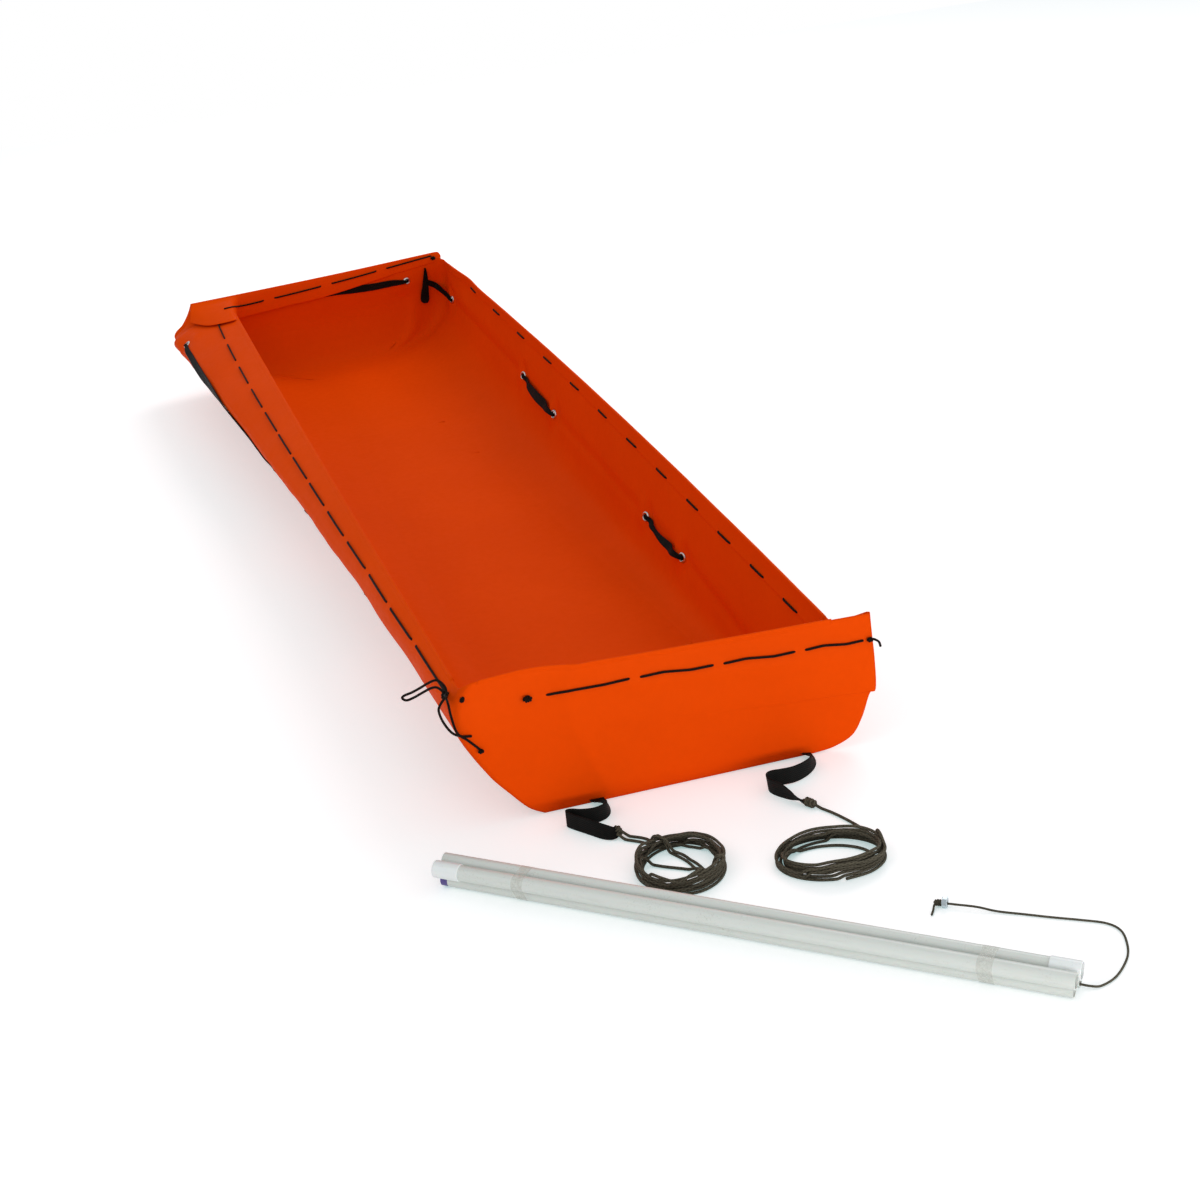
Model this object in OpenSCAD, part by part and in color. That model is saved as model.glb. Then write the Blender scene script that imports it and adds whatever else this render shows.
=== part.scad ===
// Emergency pulk: a laced sheet tub with load webbing, tow ropes and a bundle of shaft tubes.
// Millimetres. Z is up, the head of the sled is at +Y and the tow end at -Y.
// The origin is on the ground, in the middle of the tub's floor.

/* [Sheet] */
// Length of the tub from the front panel to the head panel
sled_length = 2200; // [2120:20:2300]
// Width between the two side rims
rim_width = 520; // [500:10:560]
// Height of the side rims above the ground
wall_height = 200; // [190:5:215]
// Thickness of the coated sheet
sheet_thickness = 1.6; // [1.4:0.1:2.0]
// Thickness of the turned-in hem
hem_thickness = 1.4; // [1.2:0.1:1.8]

/* [Webbing] */
// Width of the load and tow webbing
webbing_width = 24; // [20:1:25]
// Thickness of the webbing
webbing_thickness = 1.8; // [1.4:0.1:2.2]
// Bore of each metal eyelet
eyelet_bore = 9.6; // [9:0.2:10.4]
// Outside diameter of each metal eyelet
eyelet_diameter = 18; // [16:1:20]

/* [Cords] */
// Diameter of the drawcord laced through the hems
drawcord_diameter = 3.4; // [3.0:0.1:3.8]
// Diameter of the two tow ropes
rope_diameter = 4; // [3.6:0.1:4.2]
// Diameter of the thin cord that threads the tubes
thread_diameter = 2.8; // [2.4:0.1:3.2]
// Width across the flats of the nut on the thin cord
nut_across_flats = 13; // [12:0.5:14]

/* [Tubes] */
// Outside diameter of each shaft tube
tube_diameter = 20; // [18:0.5:20.5]
// Wall of each shaft tube
tube_wall = 1.6; // [1.2:0.1:2.0]
// Length of each shaft tube
tube_length = 790; // [740:10:840]
// Length of each push-on coupler
coupler_length = 36; // [30:1:40]

/* [Hidden] */

sheet_colour = [0.85, 0.23, 0.02];
hem_colour = [0.88, 0.26, 0.03];
cord_colour = [0.09, 0.06, 0.05];
webbing_colour = [0.06, 0.06, 0.06];
rope_colour = [0.20, 0.18, 0.13];
metal_colour = [0.75, 0.76, 0.76];
tube_colour = [0.90, 0.92, 0.91];
tape_colour = [0.86, 0.87, 0.80];
plug_colour = [0.25, 0.18, 0.45];

sx = rim_width / 520;
sy = sled_length / 2200;
sz = wall_height / 200;
joint_overlap = 0.1;

// Wall sections, floor edge to rim, as [distance from the middle, height]
right_front = [[212, 0], [224, 7], [229, 22], [231, 46], [233, 80], [237, 110], [245, 146], [252, 170], [254, 186]];
right_mid = [[134, 0], [174, 6], [205, 22], [222, 48], [232, 82], [239, 112], [247, 150], [254, 180], [257, 200]];
right_head = [[52, 0], [122, 7], [186, 24], [226, 52], [244, 85], [249, 112], [251, 145], [251, 170], [250, 188]];
left_front = [[165, 0], [190, 14], [214, 40], [240, 76], [262, 115], [275, 145], [280, 170], [277, 188], [263, 203]];
left_mid = [[128, 0], [174, 9], [217, 29], [254, 59], [290, 99], [322, 143], [315, 164], [293, 183], [264, 197]];
left_head = [[96, 0], [160, 8], [240, 32], [318, 68], [372, 105], [396, 138], [370, 160], [310, 178], [258, 190]];
// Ends of the front panel: left, then the free ear on the right
front_left = [[172, 0], [194, 16], [217, 44], [241, 76], [261, 115], [273, 143], [277, 168], [270, 192], [250, 213]];
front_right = [[212, 0], [240, 6], [267, 20], [281, 46], [293, 82], [301, 87], [302, 130], [302, 165], [302, 197]];
// Head panel: height at the right corner, and the free ear on the left
head_z = [0, 5, 20, 46, 82, 116, 148, 178, 207];
head_left = [[96, 0], [165, 8], [245, 32], [320, 68], [370, 105], [390, 138], [380, 160], [362, 183], [342, 204]];
// Distance of the two end panels from the middle, floor edge to rim
front_y = [-1040, -1051, -1057, -1060, -1062, -1063, -1061, -1056, -1052];
head_y = [1012, 1064, 1092, 1106, 1113, 1116, 1115, 1112, 1110];
left_head_y = [975, 995, 1005, 1010, 1010, 1008, 1015, 1030, 1040];
front_skew = -0.045;
head_skew = 0.12;
head_corner = 24;
head_flap = 2;
front_gap = 15;
// Steps along each side of the sheet: front, right, head, left
stations = [20, 16, 10, 16];

function mix(a, b, t) = a + (b - a) * t;
function unit(v) = v / norm(v);
function bend(s0, s1, s2, a) = s0 * (1 - a) * (1 - 2 * a) + s1 * 4 * a * (1 - a) + s2 * a * (2 * a - 1);
function level(table, v) = let (k = min(floor(v), 7)) mix(table[k], table[k + 1], v - k);
function scaled(x, y, z) = [x * sx, y * sy, z * sz];

// Points of the outer surface: a runs along the side, v runs from the floor edge 0 to the rim 8
function front_at(a, v) =
    let (l = level(front_left, v))
    let (r = level(front_right, v))
    let (x = mix(-l[0], r[0], a))
    let (arch = v * 1.0 * exp(-pow((a - 0.16) / 0.14, 2)))
    let (fold = 0.7 * v * exp(-pow((x + 112) / 40, 2)))
    scaled(x, level(front_y, v) + front_skew * x - fold, mix(l[1], r[1], a) + arch);
function right_at(a, v) =
    let (xz = bend(level(right_front, v), level(right_mid, v), level(right_head, v), a))
    let (y0 = level(front_y, v) + front_skew * level(right_front, v)[0] + front_gap)
    let (y1 = level(head_y, v) + head_skew * level(right_head, v)[0] - head_corner)
    scaled(xz[0], mix(y0, y1, a), xz[1]);
function head_at(a, v) =
    let (l = level(head_left, v))
    let (x0 = level(right_head, v)[0] - head_corner)
    let (x = mix(x0, -l[0], a))
    let (sag = 0.35 * v * sin(180 * a))
    scaled(x, level(head_y, v) + head_skew * x, mix(level(head_z, v), l[1], a * a) - sag);
function left_at(a, v) =
    let (xz = bend(level(left_head, v), level(left_mid, v), level(left_front, v), a))
    let (y0 = level(left_head_y, v))
    let (y1 = level(front_y, v) - front_skew * level(left_front, v)[0] + front_gap)
    scaled(-xz[0], mix(y0, y1, a), xz[1]);

// Points on a side by number: 0 front, 1 right, 2 head, 3 left
function side_at(side, a, v) =
    side == 0 ? front_at(a, v) : side == 1 ? right_at(a, v) : side == 2 ? head_at(a, v) : left_at(a, v);
function side_along(side, a, v) = unit(side_at(side, a + 0.004, v) - side_at(side, a - 0.004, v));
function side_normal(side, a, v) =
    unit(cross(side_along(side, a, v), side_at(side, a, min(v + 0.1, 8)) - side_at(side, a, v - 0.1)));
// A point held off the outer surface; a negative distance is inside the tub
function off_at(side, a, v, d) = side_at(side, a, v) + side_normal(side, a, v) * d;

// One ring of the tub at a whole level, counter-clockwise seen from above
function fold_tip(p, q, dx, dy) = p + [dx, dy, 0] + (q - p) * 0.02;
function ring(v) =
    let (ear = front_at(1, v))
    let (tuck = head_at(1, v))
    let (corner = (right_at(1, v) + head_at(0, v)) / 2 + [6, 5, 0])
    concat(
        [for (i = [0 : stations[0]]) front_at(i / stations[0], v)],
        [fold_tip(ear, right_at(0, v), 1.5, 3.5), fold_tip(ear, right_at(0, v), -1.5, 7)],
        [for (i = [0 : stations[1]]) right_at(i / stations[1], v)],
        [corner],
        [for (i = [0 : stations[2]]) head_at(i / stations[2], v)],
        [fold_tip(tuck, left_at(0, v), -1.5, -3.5), fold_tip(tuck, left_at(0, v), 0.5, -7.5)],
        [for (i = [0 : stations[3]]) left_at(i / stations[3], v)]
    );

// Closed shell made from rings of outer points and the same rings moved inward
module shell(outer, inner, bottom, inside_bottom) {
    n = len(outer[0]);
    m = len(outer);
    points = concat([for (r = outer) each r], [for (r = inner) each r], [bottom, inside_bottom]);
    half = n * m;
    wall = [for (k = [0 : m - 2]) for (i = [0 : n - 1])
        let (j = (i + 1) % n)
        let (a = k * n + i)
        let (b = k * n + j)
        each [[a, a + n, b], [b, a + n, b + n],
              [half + a, half + b, half + a + n], [half + b, half + b + n, half + a + n]]];
    rim = [for (i = [0 : n - 1])
        let (j = (i + 1) % n)
        let (a = (m - 1) * n + i)
        let (b = (m - 1) * n + j)
        each [[a, half + a, b], [b, half + a, half + b]]];
    floor_faces = [for (i = [0 : n - 1])
        let (j = (i + 1) % n)
        each [[2 * half, i, j], [2 * half + 1, half + j, half + i]]];
    polyhedron(points = points, faces = concat(wall, rim, floor_faces), convexity = 12);
}

// Solid swept through a list of sections that all have the same number of points
module sweep(sections) {
    n = len(sections[0]);
    m = len(sections);
    points = concat([for (s = sections) each s], [midpoint(sections[0]), midpoint(sections[m - 1])]);
    sides = [for (k = [0 : m - 2]) for (i = [0 : n - 1])
        let (j = (i + 1) % n)
        each [[k * n + i, (k + 1) * n + i, k * n + j], [k * n + j, (k + 1) * n + i, (k + 1) * n + j]]];
    caps = [for (i = [0 : n - 1])
        let (j = (i + 1) % n)
        each [[n * m, i, j], [n * m + 1, (m - 1) * n + j, (m - 1) * n + i]]];
    polyhedron(points = points, faces = concat(sides, caps), convexity = 10);
}
function midpoint(s) = [for (c = [0 : 2]) ([for (p = s) 1] * [for (p = s) p[c]]) / len(s)];

function path_tangent(path, i) =
    unit(path[min(i + 1, len(path) - 1)] - path[max(i - 1, 0)]);
// Round tube along a path, its sections turned as little as possible from ring to ring
function carry(path, i, side) =
    let (t = path_tangent(path, i))
    let (s = unit(side - t * (side * t)))
    i == len(path) - 1 ? [s] : concat([s], carry(path, i + 1, s));
function tube_sections(path, r, sides, start) =
    let (frame = carry(path, 0, start))
    [for (i = [0 : len(path) - 1])
        let (t = path_tangent(path, i))
        let (s = frame[i])
        let (u = cross(t, s))
        [for (k = [0 : sides - 1]) path[i] + r * (s * cos(360 * k / sides) + u * sin(360 * k / sides))]];
module round_tube(path, d, sides = 8, start = [0.13, 0.21, 1]) {
    sweep(tube_sections(path, d / 2, sides, start));
}
// Smooth path through a few chosen points
function catmull(p, i, t) =
    let (a = p[max(i - 1, 0)])
    let (b = p[i])
    let (c = p[i + 1])
    let (d = p[min(i + 2, len(p) - 1)])
    (2 * b + (c - a) * t + (2 * a - 5 * b + 4 * c - d) * t * t + (3 * b - a - 3 * c + d) * t * t * t) / 2;
function smooth(p, steps) =
    concat([for (i = [0 : len(p) - 2]) for (k = [0 : steps - 1]) catmull(p, i, k / steps)], [p[len(p) - 1]]);

// Flat band through stations of [point, face normal, width, thickness]
function band_section(st, i) =
    let (points = [for (s = st) s[0]])
    let (t = path_tangent(points, i))
    let (n = unit(st[i][1] - t * (st[i][1] * t)))
    let (w = cross(t, n) * st[i][2] / 2)
    let (h = n * st[i][3] / 2)
    [st[i][0] - w - h, st[i][0] - w + h, st[i][0] + w + h, st[i][0] + w - h];
module band(st) {
    sweep([for (i = [0 : len(st) - 1]) band_section(st, i)]);
}

// Hem: the sheet's edge turned in, drawn as a strip against the inner face
module hem(side, a0, a1, low0, low1, flare = 0) {
    outer = sheet_thickness - joint_overlap;
    inner = sheet_thickness + hem_thickness;
    count = stations[side];
    first = ceil(a0 * count);
    last = floor(a1 * count);
    places = concat([a0], [for (i = [first : last]) i / count], [a1]);
    sweep([for (a = places)
        let (low = mix(low0, low1, a))
        let (f = flare * flap_at(a))
        [off_at(side, a, low, -outer - f * (7.97 - low)), off_at(side, a, low, -inner - f * (7.97 - low)),
         off_at(side, a, 7, -inner - f), off_at(side, a, 7.97, -inner),
         off_at(side, a, 7.97, -outer), off_at(side, a, 7, -outer - f)]]);
}
// How far the head hem stands off along its length, to make room for the webbing behind it
function flap_at(a) = min(1, max(0, (a - 0.2) / 0.2));

cord_out = drawcord_diameter / 2 - joint_overlap;
cord_in = -(sheet_thickness + hem_thickness + drawcord_diameter / 2 - joint_overlap);

// Fractions along each side where the dashes lie, and the level of the stitch line there
function right_dash(i) = (1911 - 203 * i + 3.6 * i * i) / 2160;
function left_dash(i) = (90 + 166 * i - 1.1 * i * i) / 2050;
front_dashes = [[0.214, 0.399], [0.432, 0.601], [0.633, 0.802], [0.834, 0.975]];
head_dashes = [[0.03, 0.2], [0.248, 0.429], [0.479, 0.66], [0.709, 0.879]];
function front_v(a) = 6.86 - 0.3 * pow(max(0, 0.42 - a) / 0.2, 2);
function right_v(a) = 6.25 + 1.3 * a - 0.35 * a * a;
function head_v(a) = 7.8 - 1.2 * a;
function left_v(a) = 7.2 - 1.6 * a * (1 - a);
function head_in(a) = cord_in - head_flap * flap_at(a) * (7.97 - head_v(a));

module sheet() {
    rings = [for (k = [0 : 8]) ring(k)];
    n = len(rings[0]);
    inner = [for (k = [0 : 8]) [for (i = [0 : n - 1])
        let (along = rings[k][(i + 1) % n] - rings[k][(i + n - 1) % n])
        let (up = rings[min(k + 1, 8)][i] - rings[max(k - 1, 0)][i])
        rings[k][i] - unit(cross(along, up)) * sheet_thickness]];
    color(sheet_colour)
    difference() {
        shell(rings, inner, [12, 0, 0], [12, 0, sheet_thickness]);
        for (e = concat(right_eyelets, left_eyelets, [head_eyelet]))
            square_to(e)
            translate([0, 0, -6])
            cylinder(h = 10, r = eyelet_bore / 2 + 0.9, $fn = 32);
        for (k = [0, 1])
            translate(tow_move[k] + [tow_slits[k], -1056, 0])
            rotate([0, 0, -3])
            translate([-webbing_width / 2 - 0.5, -20, 2.2])
            cube([webbing_width + 1, 40, 5.6]);
    }
}

module hem_front() {
    color(hem_colour) hem(0, 0.02, 0.9, 6.1, 6.4);
}
module hem_right() {
    color(hem_colour) hem(1, 0.01, 0.985, 5.9, 6.65);
}
module hem_head() {
    color(hem_colour) hem(2, 0.02, 0.93, 6.75, 5.9, head_flap);
}
module hem_left() {
    color(hem_colour) hem(3, 0.02, 0.985, 6.5, 6.3);
}

module drawcord_front() {
    path = concat(
        [off_at(0, 0.17, front_v(0.19), cord_out)],
        [for (i = [0 : 3])
            let (d = front_dashes[i])
            each [off_at(0, d[0], front_v(d[0]), cord_out),
                  off_at(0, mix(d[0], d[1], 0.3), front_v(mix(d[0], d[1], 0.3)), cord_out + 0.3),
                  off_at(0, mix(d[0], d[1], 0.7), front_v(mix(d[0], d[1], 0.7)), cord_out + 0.3),
                  off_at(0, d[1], front_v(d[1]), cord_out),
                  off_at(0, d[1] + 0.006, front_v(d[1]), i < 3 ? cord_in : cord_out),
                  if (i < 3) off_at(0, d[1] + 0.026, front_v(d[1]), cord_in)]]);
    color(cord_colour) round_tube(path, drawcord_diameter, 6);
}
module drawcord_right() {
    path = concat(
        [off_at(1, 0.02, right_v(0), cord_in)],
        [for (i = [11 : -1 : 0])
            let (a = right_dash(i))
            let (b = i > 0 ? right_dash(i - 1) - 0.018 : 0.975)
            each [off_at(1, a - 0.013, right_v(a), cord_in), off_at(1, a + 0.012, right_v(a), cord_in),
                  off_at(1, a + 0.017, right_v(a), cord_out),
                  off_at(1, mix(a, b, 0.5), right_v(mix(a, b, 0.5)), cord_out + 0.4),
                  off_at(1, b, right_v(b), cord_out)]]);
    color(cord_colour) round_tube(path, drawcord_diameter, 6);
}
module drawcord_head() {
    path = concat(
        [off_at(2, 0.012, head_v(0), cord_in)],
        [for (i = [0 : 3])
            let (d = head_dashes[i])
            each [off_at(2, d[0], head_v(d[0]), head_in(d[0])),
                  off_at(2, mix(d[0], d[1], 0.5), head_v(mix(d[0], d[1], 0.5)), head_in(mix(d[0], d[1], 0.5)) - 0.3),
                  off_at(2, d[1], head_v(d[1]), head_in(d[1])),
                  off_at(2, d[1] + 0.006, head_v(d[1]), i < 3 ? cord_out : head_in(d[1])),
                  if (i < 3) off_at(2, d[1] + 0.04, head_v(d[1]), cord_out)]]);
    color(cord_colour) round_tube(path, drawcord_diameter, 6);
}
module drawcord_left() {
    path = concat(
        [off_at(3, 0.028, left_v(0), cord_out)],
        [for (i = [0 : 12])
            let (a = left_dash(i))
            let (b = i < 12 ? left_dash(i + 1) - 0.033 : 0.992)
            each [off_at(3, a - 0.028, left_v(a - 0.028), cord_out), off_at(3, a, left_v(a), cord_out + 0.4),
                  off_at(3, a + 0.026, left_v(a + 0.026), cord_out),
                  off_at(3, a + 0.031, left_v(a + 0.03), i < 12 ? cord_in : cord_out),
                  off_at(3, b, left_v(b), i < 12 ? cord_in : cord_out)]]);
    color(cord_colour) round_tube(path, drawcord_diameter, 6);
}

// A stopper knot: wraps of cord side by side on a short core
module knot(at, turn, tilt, d) {
    translate(at)
    rotate([0, tilt, turn])
    union() {
        cylinder(h = 2.6 * d, d = 1.7 * d, center = true, $fn = 24);
        for (k = [-1 : 1])
            translate([0, 0, k * 0.85 * d])
            rotate_extrude($fn = 28)
            translate([0.95 * d, 0])
            circle(d = d, $fn = 16);
    }
}

module stopper_knots() {
    r = drawcord_diameter;
    color(cord_colour) {
        knot(off_at(0, 0.165, front_v(0.19), r * 1.2), 0, 90, r);
        knot(off_at(0, 0.025, 4.2, r * 1.2), 20, 90, r);
        knot(off_at(0, 0.985, front_v(1), r * 1.2), 0, 90, r);
        knot(off_at(1, 0.012, right_v(0) + 0.2, -sheet_thickness - hem_thickness - r), 90, 90, r);
        knot(off_at(2, 0.005, 7.75, -sheet_thickness - r * 1.2), 0, 90, r);
    }
}

// Bow at the near left corner: two ears, a tail and the strand down to the lower knot
module lace_bow() {
    r = drawcord_diameter / 2;
    centre = off_at(3, 0.992, left_v(1) - 0.1, 2 * r);
    ear = smooth([centre, centre + [-14, 10, 14], centre + [-32, 24, 12], centre + [-48, 36, 0],
                  centre + [-44, 40, -7], centre + [-26, 32, -4], centre + [-8, 16, 3], centre + [2, 3, 1]], 4);
    strand = smooth([centre, off_at(0, 0.004, 6.9, r + 1.1), off_at(0, 0.006, 6.0, r + 0.7),
                     off_at(0, 0.012, 5.1, r + 0.3), off_at(0, 0.025, 4.3, r + 0.5)], 4);
    tail = smooth([centre, centre + [-9, -6, -8], centre + [-12, -9, -24], centre + [-6, -12, -40],
                   off_at(0, 0.012, 5.0, 3 * r + 0.3), off_at(0, 0.035, 4.75, r + 0.3)], 4);
    color(cord_colour) {
        union() {
            knot(centre, 40, 60, drawcord_diameter);
            round_tube(ear, drawcord_diameter, 6);
            round_tube(strand, drawcord_diameter, 6);
            round_tube(tail, drawcord_diameter, 6);
        }
    }
}

// Turns the z axis square to the sheet at an eyelet's place
module square_to(e) {
    n = side_normal(e[0], e[1], e[2]);
    translate(side_at(e[0], e[1], e[2]))
    rotate([0, acos(n[2]), atan2(n[1], n[0])])
    children();
}

// Eyelet: two rolled flanges joined by a barrel
module eyelet(e) {
    square_to(e)
    rotate_extrude($fn = 32)
    polygon([[eyelet_bore / 2, 1.4], [eyelet_bore / 2 + 1.2, 1.9], [eyelet_diameter / 2 - 0.6, 0.9],
             [eyelet_diameter / 2, -0.1], [eyelet_bore / 2 + 0.9, -0.1],
             [eyelet_bore / 2 + 0.9, 0.1 - sheet_thickness], [eyelet_diameter / 2, 0.1 - sheet_thickness],
             [eyelet_diameter / 2 - 0.6, -0.9 - sheet_thickness], [eyelet_bore / 2 + 1.2, -1.9 - sheet_thickness],
             [eyelet_bore / 2, -1.4 - sheet_thickness]]);
}

// Eyelet places as [side, along, level]
right_eyelets = [[1, 0.255, 3.85], [1, 0.338, 4.0], [1, 0.592, 4.3], [1, 0.695, 4.72], [1, 0.982, 4.75]];
left_eyelets = [[3, 0.034, 5.6], [3, 0.43, 4.6], [3, 0.53, 4.45], [3, 0.72, 4.2], [3, 0.81, 4.1]];
head_eyelet = [2, 0.118, 6.2];
// Middles of the two slits that the tow webbing comes out of, and how far each side's tow gear has moved with them
tow_slits = [-100, 199];
tow_move = [for (x = tow_slits) [x * (sx - 1), -1056 * (sy - 1), 0]];

module eyelets_right() {
    color(metal_colour)
    for (e = right_eyelets) eyelet(e);
}
module eyelets_left() {
    color(metal_colour)
    for (e = left_eyelets) eyelet(e);
}
module eyelets_head() {
    color(metal_colour) eyelet(head_eyelet);
}

// Webbing stations: flat on the outside or the inside, and squeezed through an eyelet
lie_out = webbing_thickness / 2 - 0.2;
lie_in = -(sheet_thickness + webbing_thickness / 2 - 0.2);
function flat_station(side, a, v, d) = [off_at(side, a, v, d), side_normal(side, a, v), webbing_width, webbing_thickness];
function neck_station(side, a, v, d) = [off_at(side, a, v, d), side_normal(side, a, v), eyelet_bore * 0.8, 3.4];
// Through an eyelet, going along the side in direction s, from distance d0 to distance d1
function through(e, s, d0, d1) =
    let (n = side_normal(e[0], e[1], e[2]))
    let (t = side_along(e[0], e[1], e[2]) * s * sign(d0 - d1))
    let (p = side_at(e[0], e[1], e[2]))
    [[p + n * d0 * 0.9 - t * sign(d0 - d1) * 1.6, n + t * 0.6, eyelet_bore * 0.66, 4.4],
     [p + n * d0 * 0.2, t, eyelet_bore * 0.62, 4.8],
     [p + n * (d1 * 0.6), t, eyelet_bore * 0.62, 4.8],
     [p + n * d1 * 0.9 + t * sign(d0 - d1) * 1.6, n + t * 0.6, eyelet_bore * 0.66, 4.4]];
// A loose length between two eyelets on the inside, turned on edge in its middle
function inner_bow(e0, e1, count, lift, spin) =
    [for (i = [1 : count - 1])
        let (f = i / count)
        let (a = mix(e0[1], e1[1], f))
        let (v = mix(e0[2], e1[2], f))
        let (n = side_normal(e0[0], a, v))
        let (u = cross(side_along(e0[0], a, v), n))
        let (q = spin * sin(180 * f))
        [off_at(e0[0], a, v, lie_in - 1.4 - lift * sin(180 * f)), n * cos(q) + u * sin(q),
         mix(webbing_width * 0.55, webbing_width * 0.85, sin(180 * f)), webbing_thickness]];
function outer_run(side, a0, v0, a1, v1, count) =
    [for (i = [0 : count]) flat_station(side, mix(a0, a1, i / count), mix(v0, v1, i / count), lie_out)];

module load_strap_right() {
    e = right_eyelets;
    stations = concat(
        outer_run(1, 0.08, 2.9, 0.235, 3.8, 4),
        [neck_station(1, 0.248, 3.85, lie_out + 1.6)], through(e[0], 1, 3.4, -5),
        inner_bow(e[0], e[1], 7, 7, 65),
        through(e[1], 1, -5, 3.4), [neck_station(1, 0.345, 4.0, lie_out + 1.6)],
        outer_run(1, 0.36, 4.02, 0.57, 4.28, 5),
        [neck_station(1, 0.585, 4.3, lie_out + 1.6)], through(e[2], 1, 3.4, -5),
        inner_bow(e[2], e[3], 7, 8, 65),
        through(e[3], 1, -5, 3.4), [neck_station(1, 0.702, 4.72, lie_out + 1.6)],
        outer_run(1, 0.72, 4.72, 0.962, 4.75, 6),
        [neck_station(1, 0.976, 4.75, lie_out + 1.6)], through(e[4], 1, 3.4, -5),
        [[off_at(1, 0.99, 5.0, lie_in - 2.5), side_normal(1, 0.99, 5.0), webbing_width * 0.6, webbing_thickness],
         [off_at(2, 0.035, 5.75, lie_in - 1.5), side_normal(2, 0.035, 5.75), webbing_width * 0.75, webbing_thickness],
         [off_at(2, 0.075, 6.0, lie_in - 0.2), side_normal(2, 0.075, 6.0), webbing_width * 0.6, webbing_thickness]],
        through(head_eyelet, 1, -5, 2.6));
    color(webbing_colour) band(stations);
}

module load_strap_left() {
    e = left_eyelets;
    stations = concat(
        [[off_at(2, 0.135, 6.2, lie_in - 1.2), side_normal(2, 0.135, 6.2), webbing_width * 0.5, 2.4]],
        [for (i = [0 : 5])
            let (a = mix(0.17, 0.9, i / 5))
            [off_at(2, a, 6.1 + 0.55 * sin(min(1, (a - 0.1) / 0.4) * 90), lie_in - (i == 0 ? 1 : 0)),
             side_normal(2, a, 6.4), webbing_width * 0.8, webbing_thickness]],
        [[off_at(2, 0.965, 6.2, lie_in - 3), side_normal(2, 0.965, 6.2), webbing_width * 0.8, webbing_thickness],
         [off_at(3, 0.012, 5.5, lie_in - 3), side_normal(3, 0.02, 5.5), webbing_width * 0.6, webbing_thickness]],
        through(e[0], 1, -5, 3.4), [neck_station(3, 0.04, 5.6, lie_out + 1.6)],
        outer_run(3, 0.055, 5.6, 0.3, 5.25, 6), outer_run(3, 0.345, 4.8, 0.41, 4.65, 2),
        [neck_station(3, 0.423, 4.6, lie_out + 1.6)], through(e[1], 1, 3.4, -5),
        inner_bow(e[1], e[2], 7, 7, -65),
        through(e[2], 1, -5, 3.4), [neck_station(3, 0.537, 4.45, lie_out + 1.6)],
        outer_run(3, 0.552, 4.43, 0.7, 4.2, 4),
        [neck_station(3, 0.713, 4.2, lie_out + 1.6)], through(e[3], 1, 3.4, -5),
        inner_bow(e[3], e[4], 7, 7, -65),
        through(e[4], 1, -5, 3.4), [neck_station(3, 0.817, 4.1, lie_out + 1.6)],
        outer_run(3, 0.832, 4.05, 0.93, 3.3, 3));
    color(webbing_colour) band(stations);
}

// End of the load webbing, hitched over the corner run and hanging down the head panel
module corner_tail() {
    n = side_normal(2, 0.045, 5.5);
    color(webbing_colour)
    band([for (i = [0 : 6])
        let (f = i / 6)
        [off_at(2, mix(0.04, 0.058, f), mix(6.7, 4.4, f), lie_in - 1.2 - 2.6 * sin(180 * min(1, f * 1.6))), n,
         webbing_width * (i == 6 ? 0.55 : 0.9), webbing_thickness]]);
}

// Tow webbing: from its sewn end on the floor, out through the slit and over the ground
module tow_strap_left() {
    z = webbing_thickness / 2;
    w = webbing_width;
    color(webbing_colour)
    translate(tow_move[0])
    band([
        [[-100, -975, sheet_thickness + z - 0.2], [0, 0, 1], w, 2 * z],
        [[-100, -1010, sheet_thickness + z - 0.2], [0, 0, 1], w, 2 * z],
        [[-100, -1034, sheet_thickness + z + 0.6], [0, 0, 1], w, 2 * z],
        [[-100, -1048, 5.6], [0, 0, 1], w * 0.9, 2 * z],
        [[-100, -1060, 6.4], [0, -0.2, 1], w * 0.8, 2 * z],
        [[-94, -1072, 8.5], [0.5, -0.4, 0.8], w * 0.75, 2 * z],
        [[-90, -1084, 10.5], [0.9, -0.1, 0.4], w * 0.8, 2 * z],
        [[-94, -1097, 11.5], [0.85, -0.5, 0.1], w * 0.88, 2 * z],
        [[-106, -1106, 12.6], [0.3, -0.9, 0], w, 2 * z],
        [[-124, -1104, 12.6], [-0.2, -1, 0], w, 2 * z],
        [[-140, -1094, 12.6], [-0.4, -0.9, 0], w, 2 * z],
        [[-149, -1086, 12.6], [-1, -0.6, 0.1], w, 2 * z],
        [[-154, -1093, 12.6], [-0.9, 0.6, 0.1], w, 2 * z],
        [[-150, -1103, 12.6], [-0.4, 0.9, 0.1], w, 2 * z],
        [[-138, -1115, 12], [-0.5, 0.8, 0.2], w * 0.92, 2 * z],
        [[-124, -1126, 10.5], [-0.4, 0.8, 0.4], w * 0.84, 2 * z],
        [[-112, -1135, 9], [-0.3, 0.8, 0.5], w * 0.72, 2 * z],
        [[-103, -1141, 8], [-0.3, 0.8, 0.5], w * 0.6, 2 * z]]);
}
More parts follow.
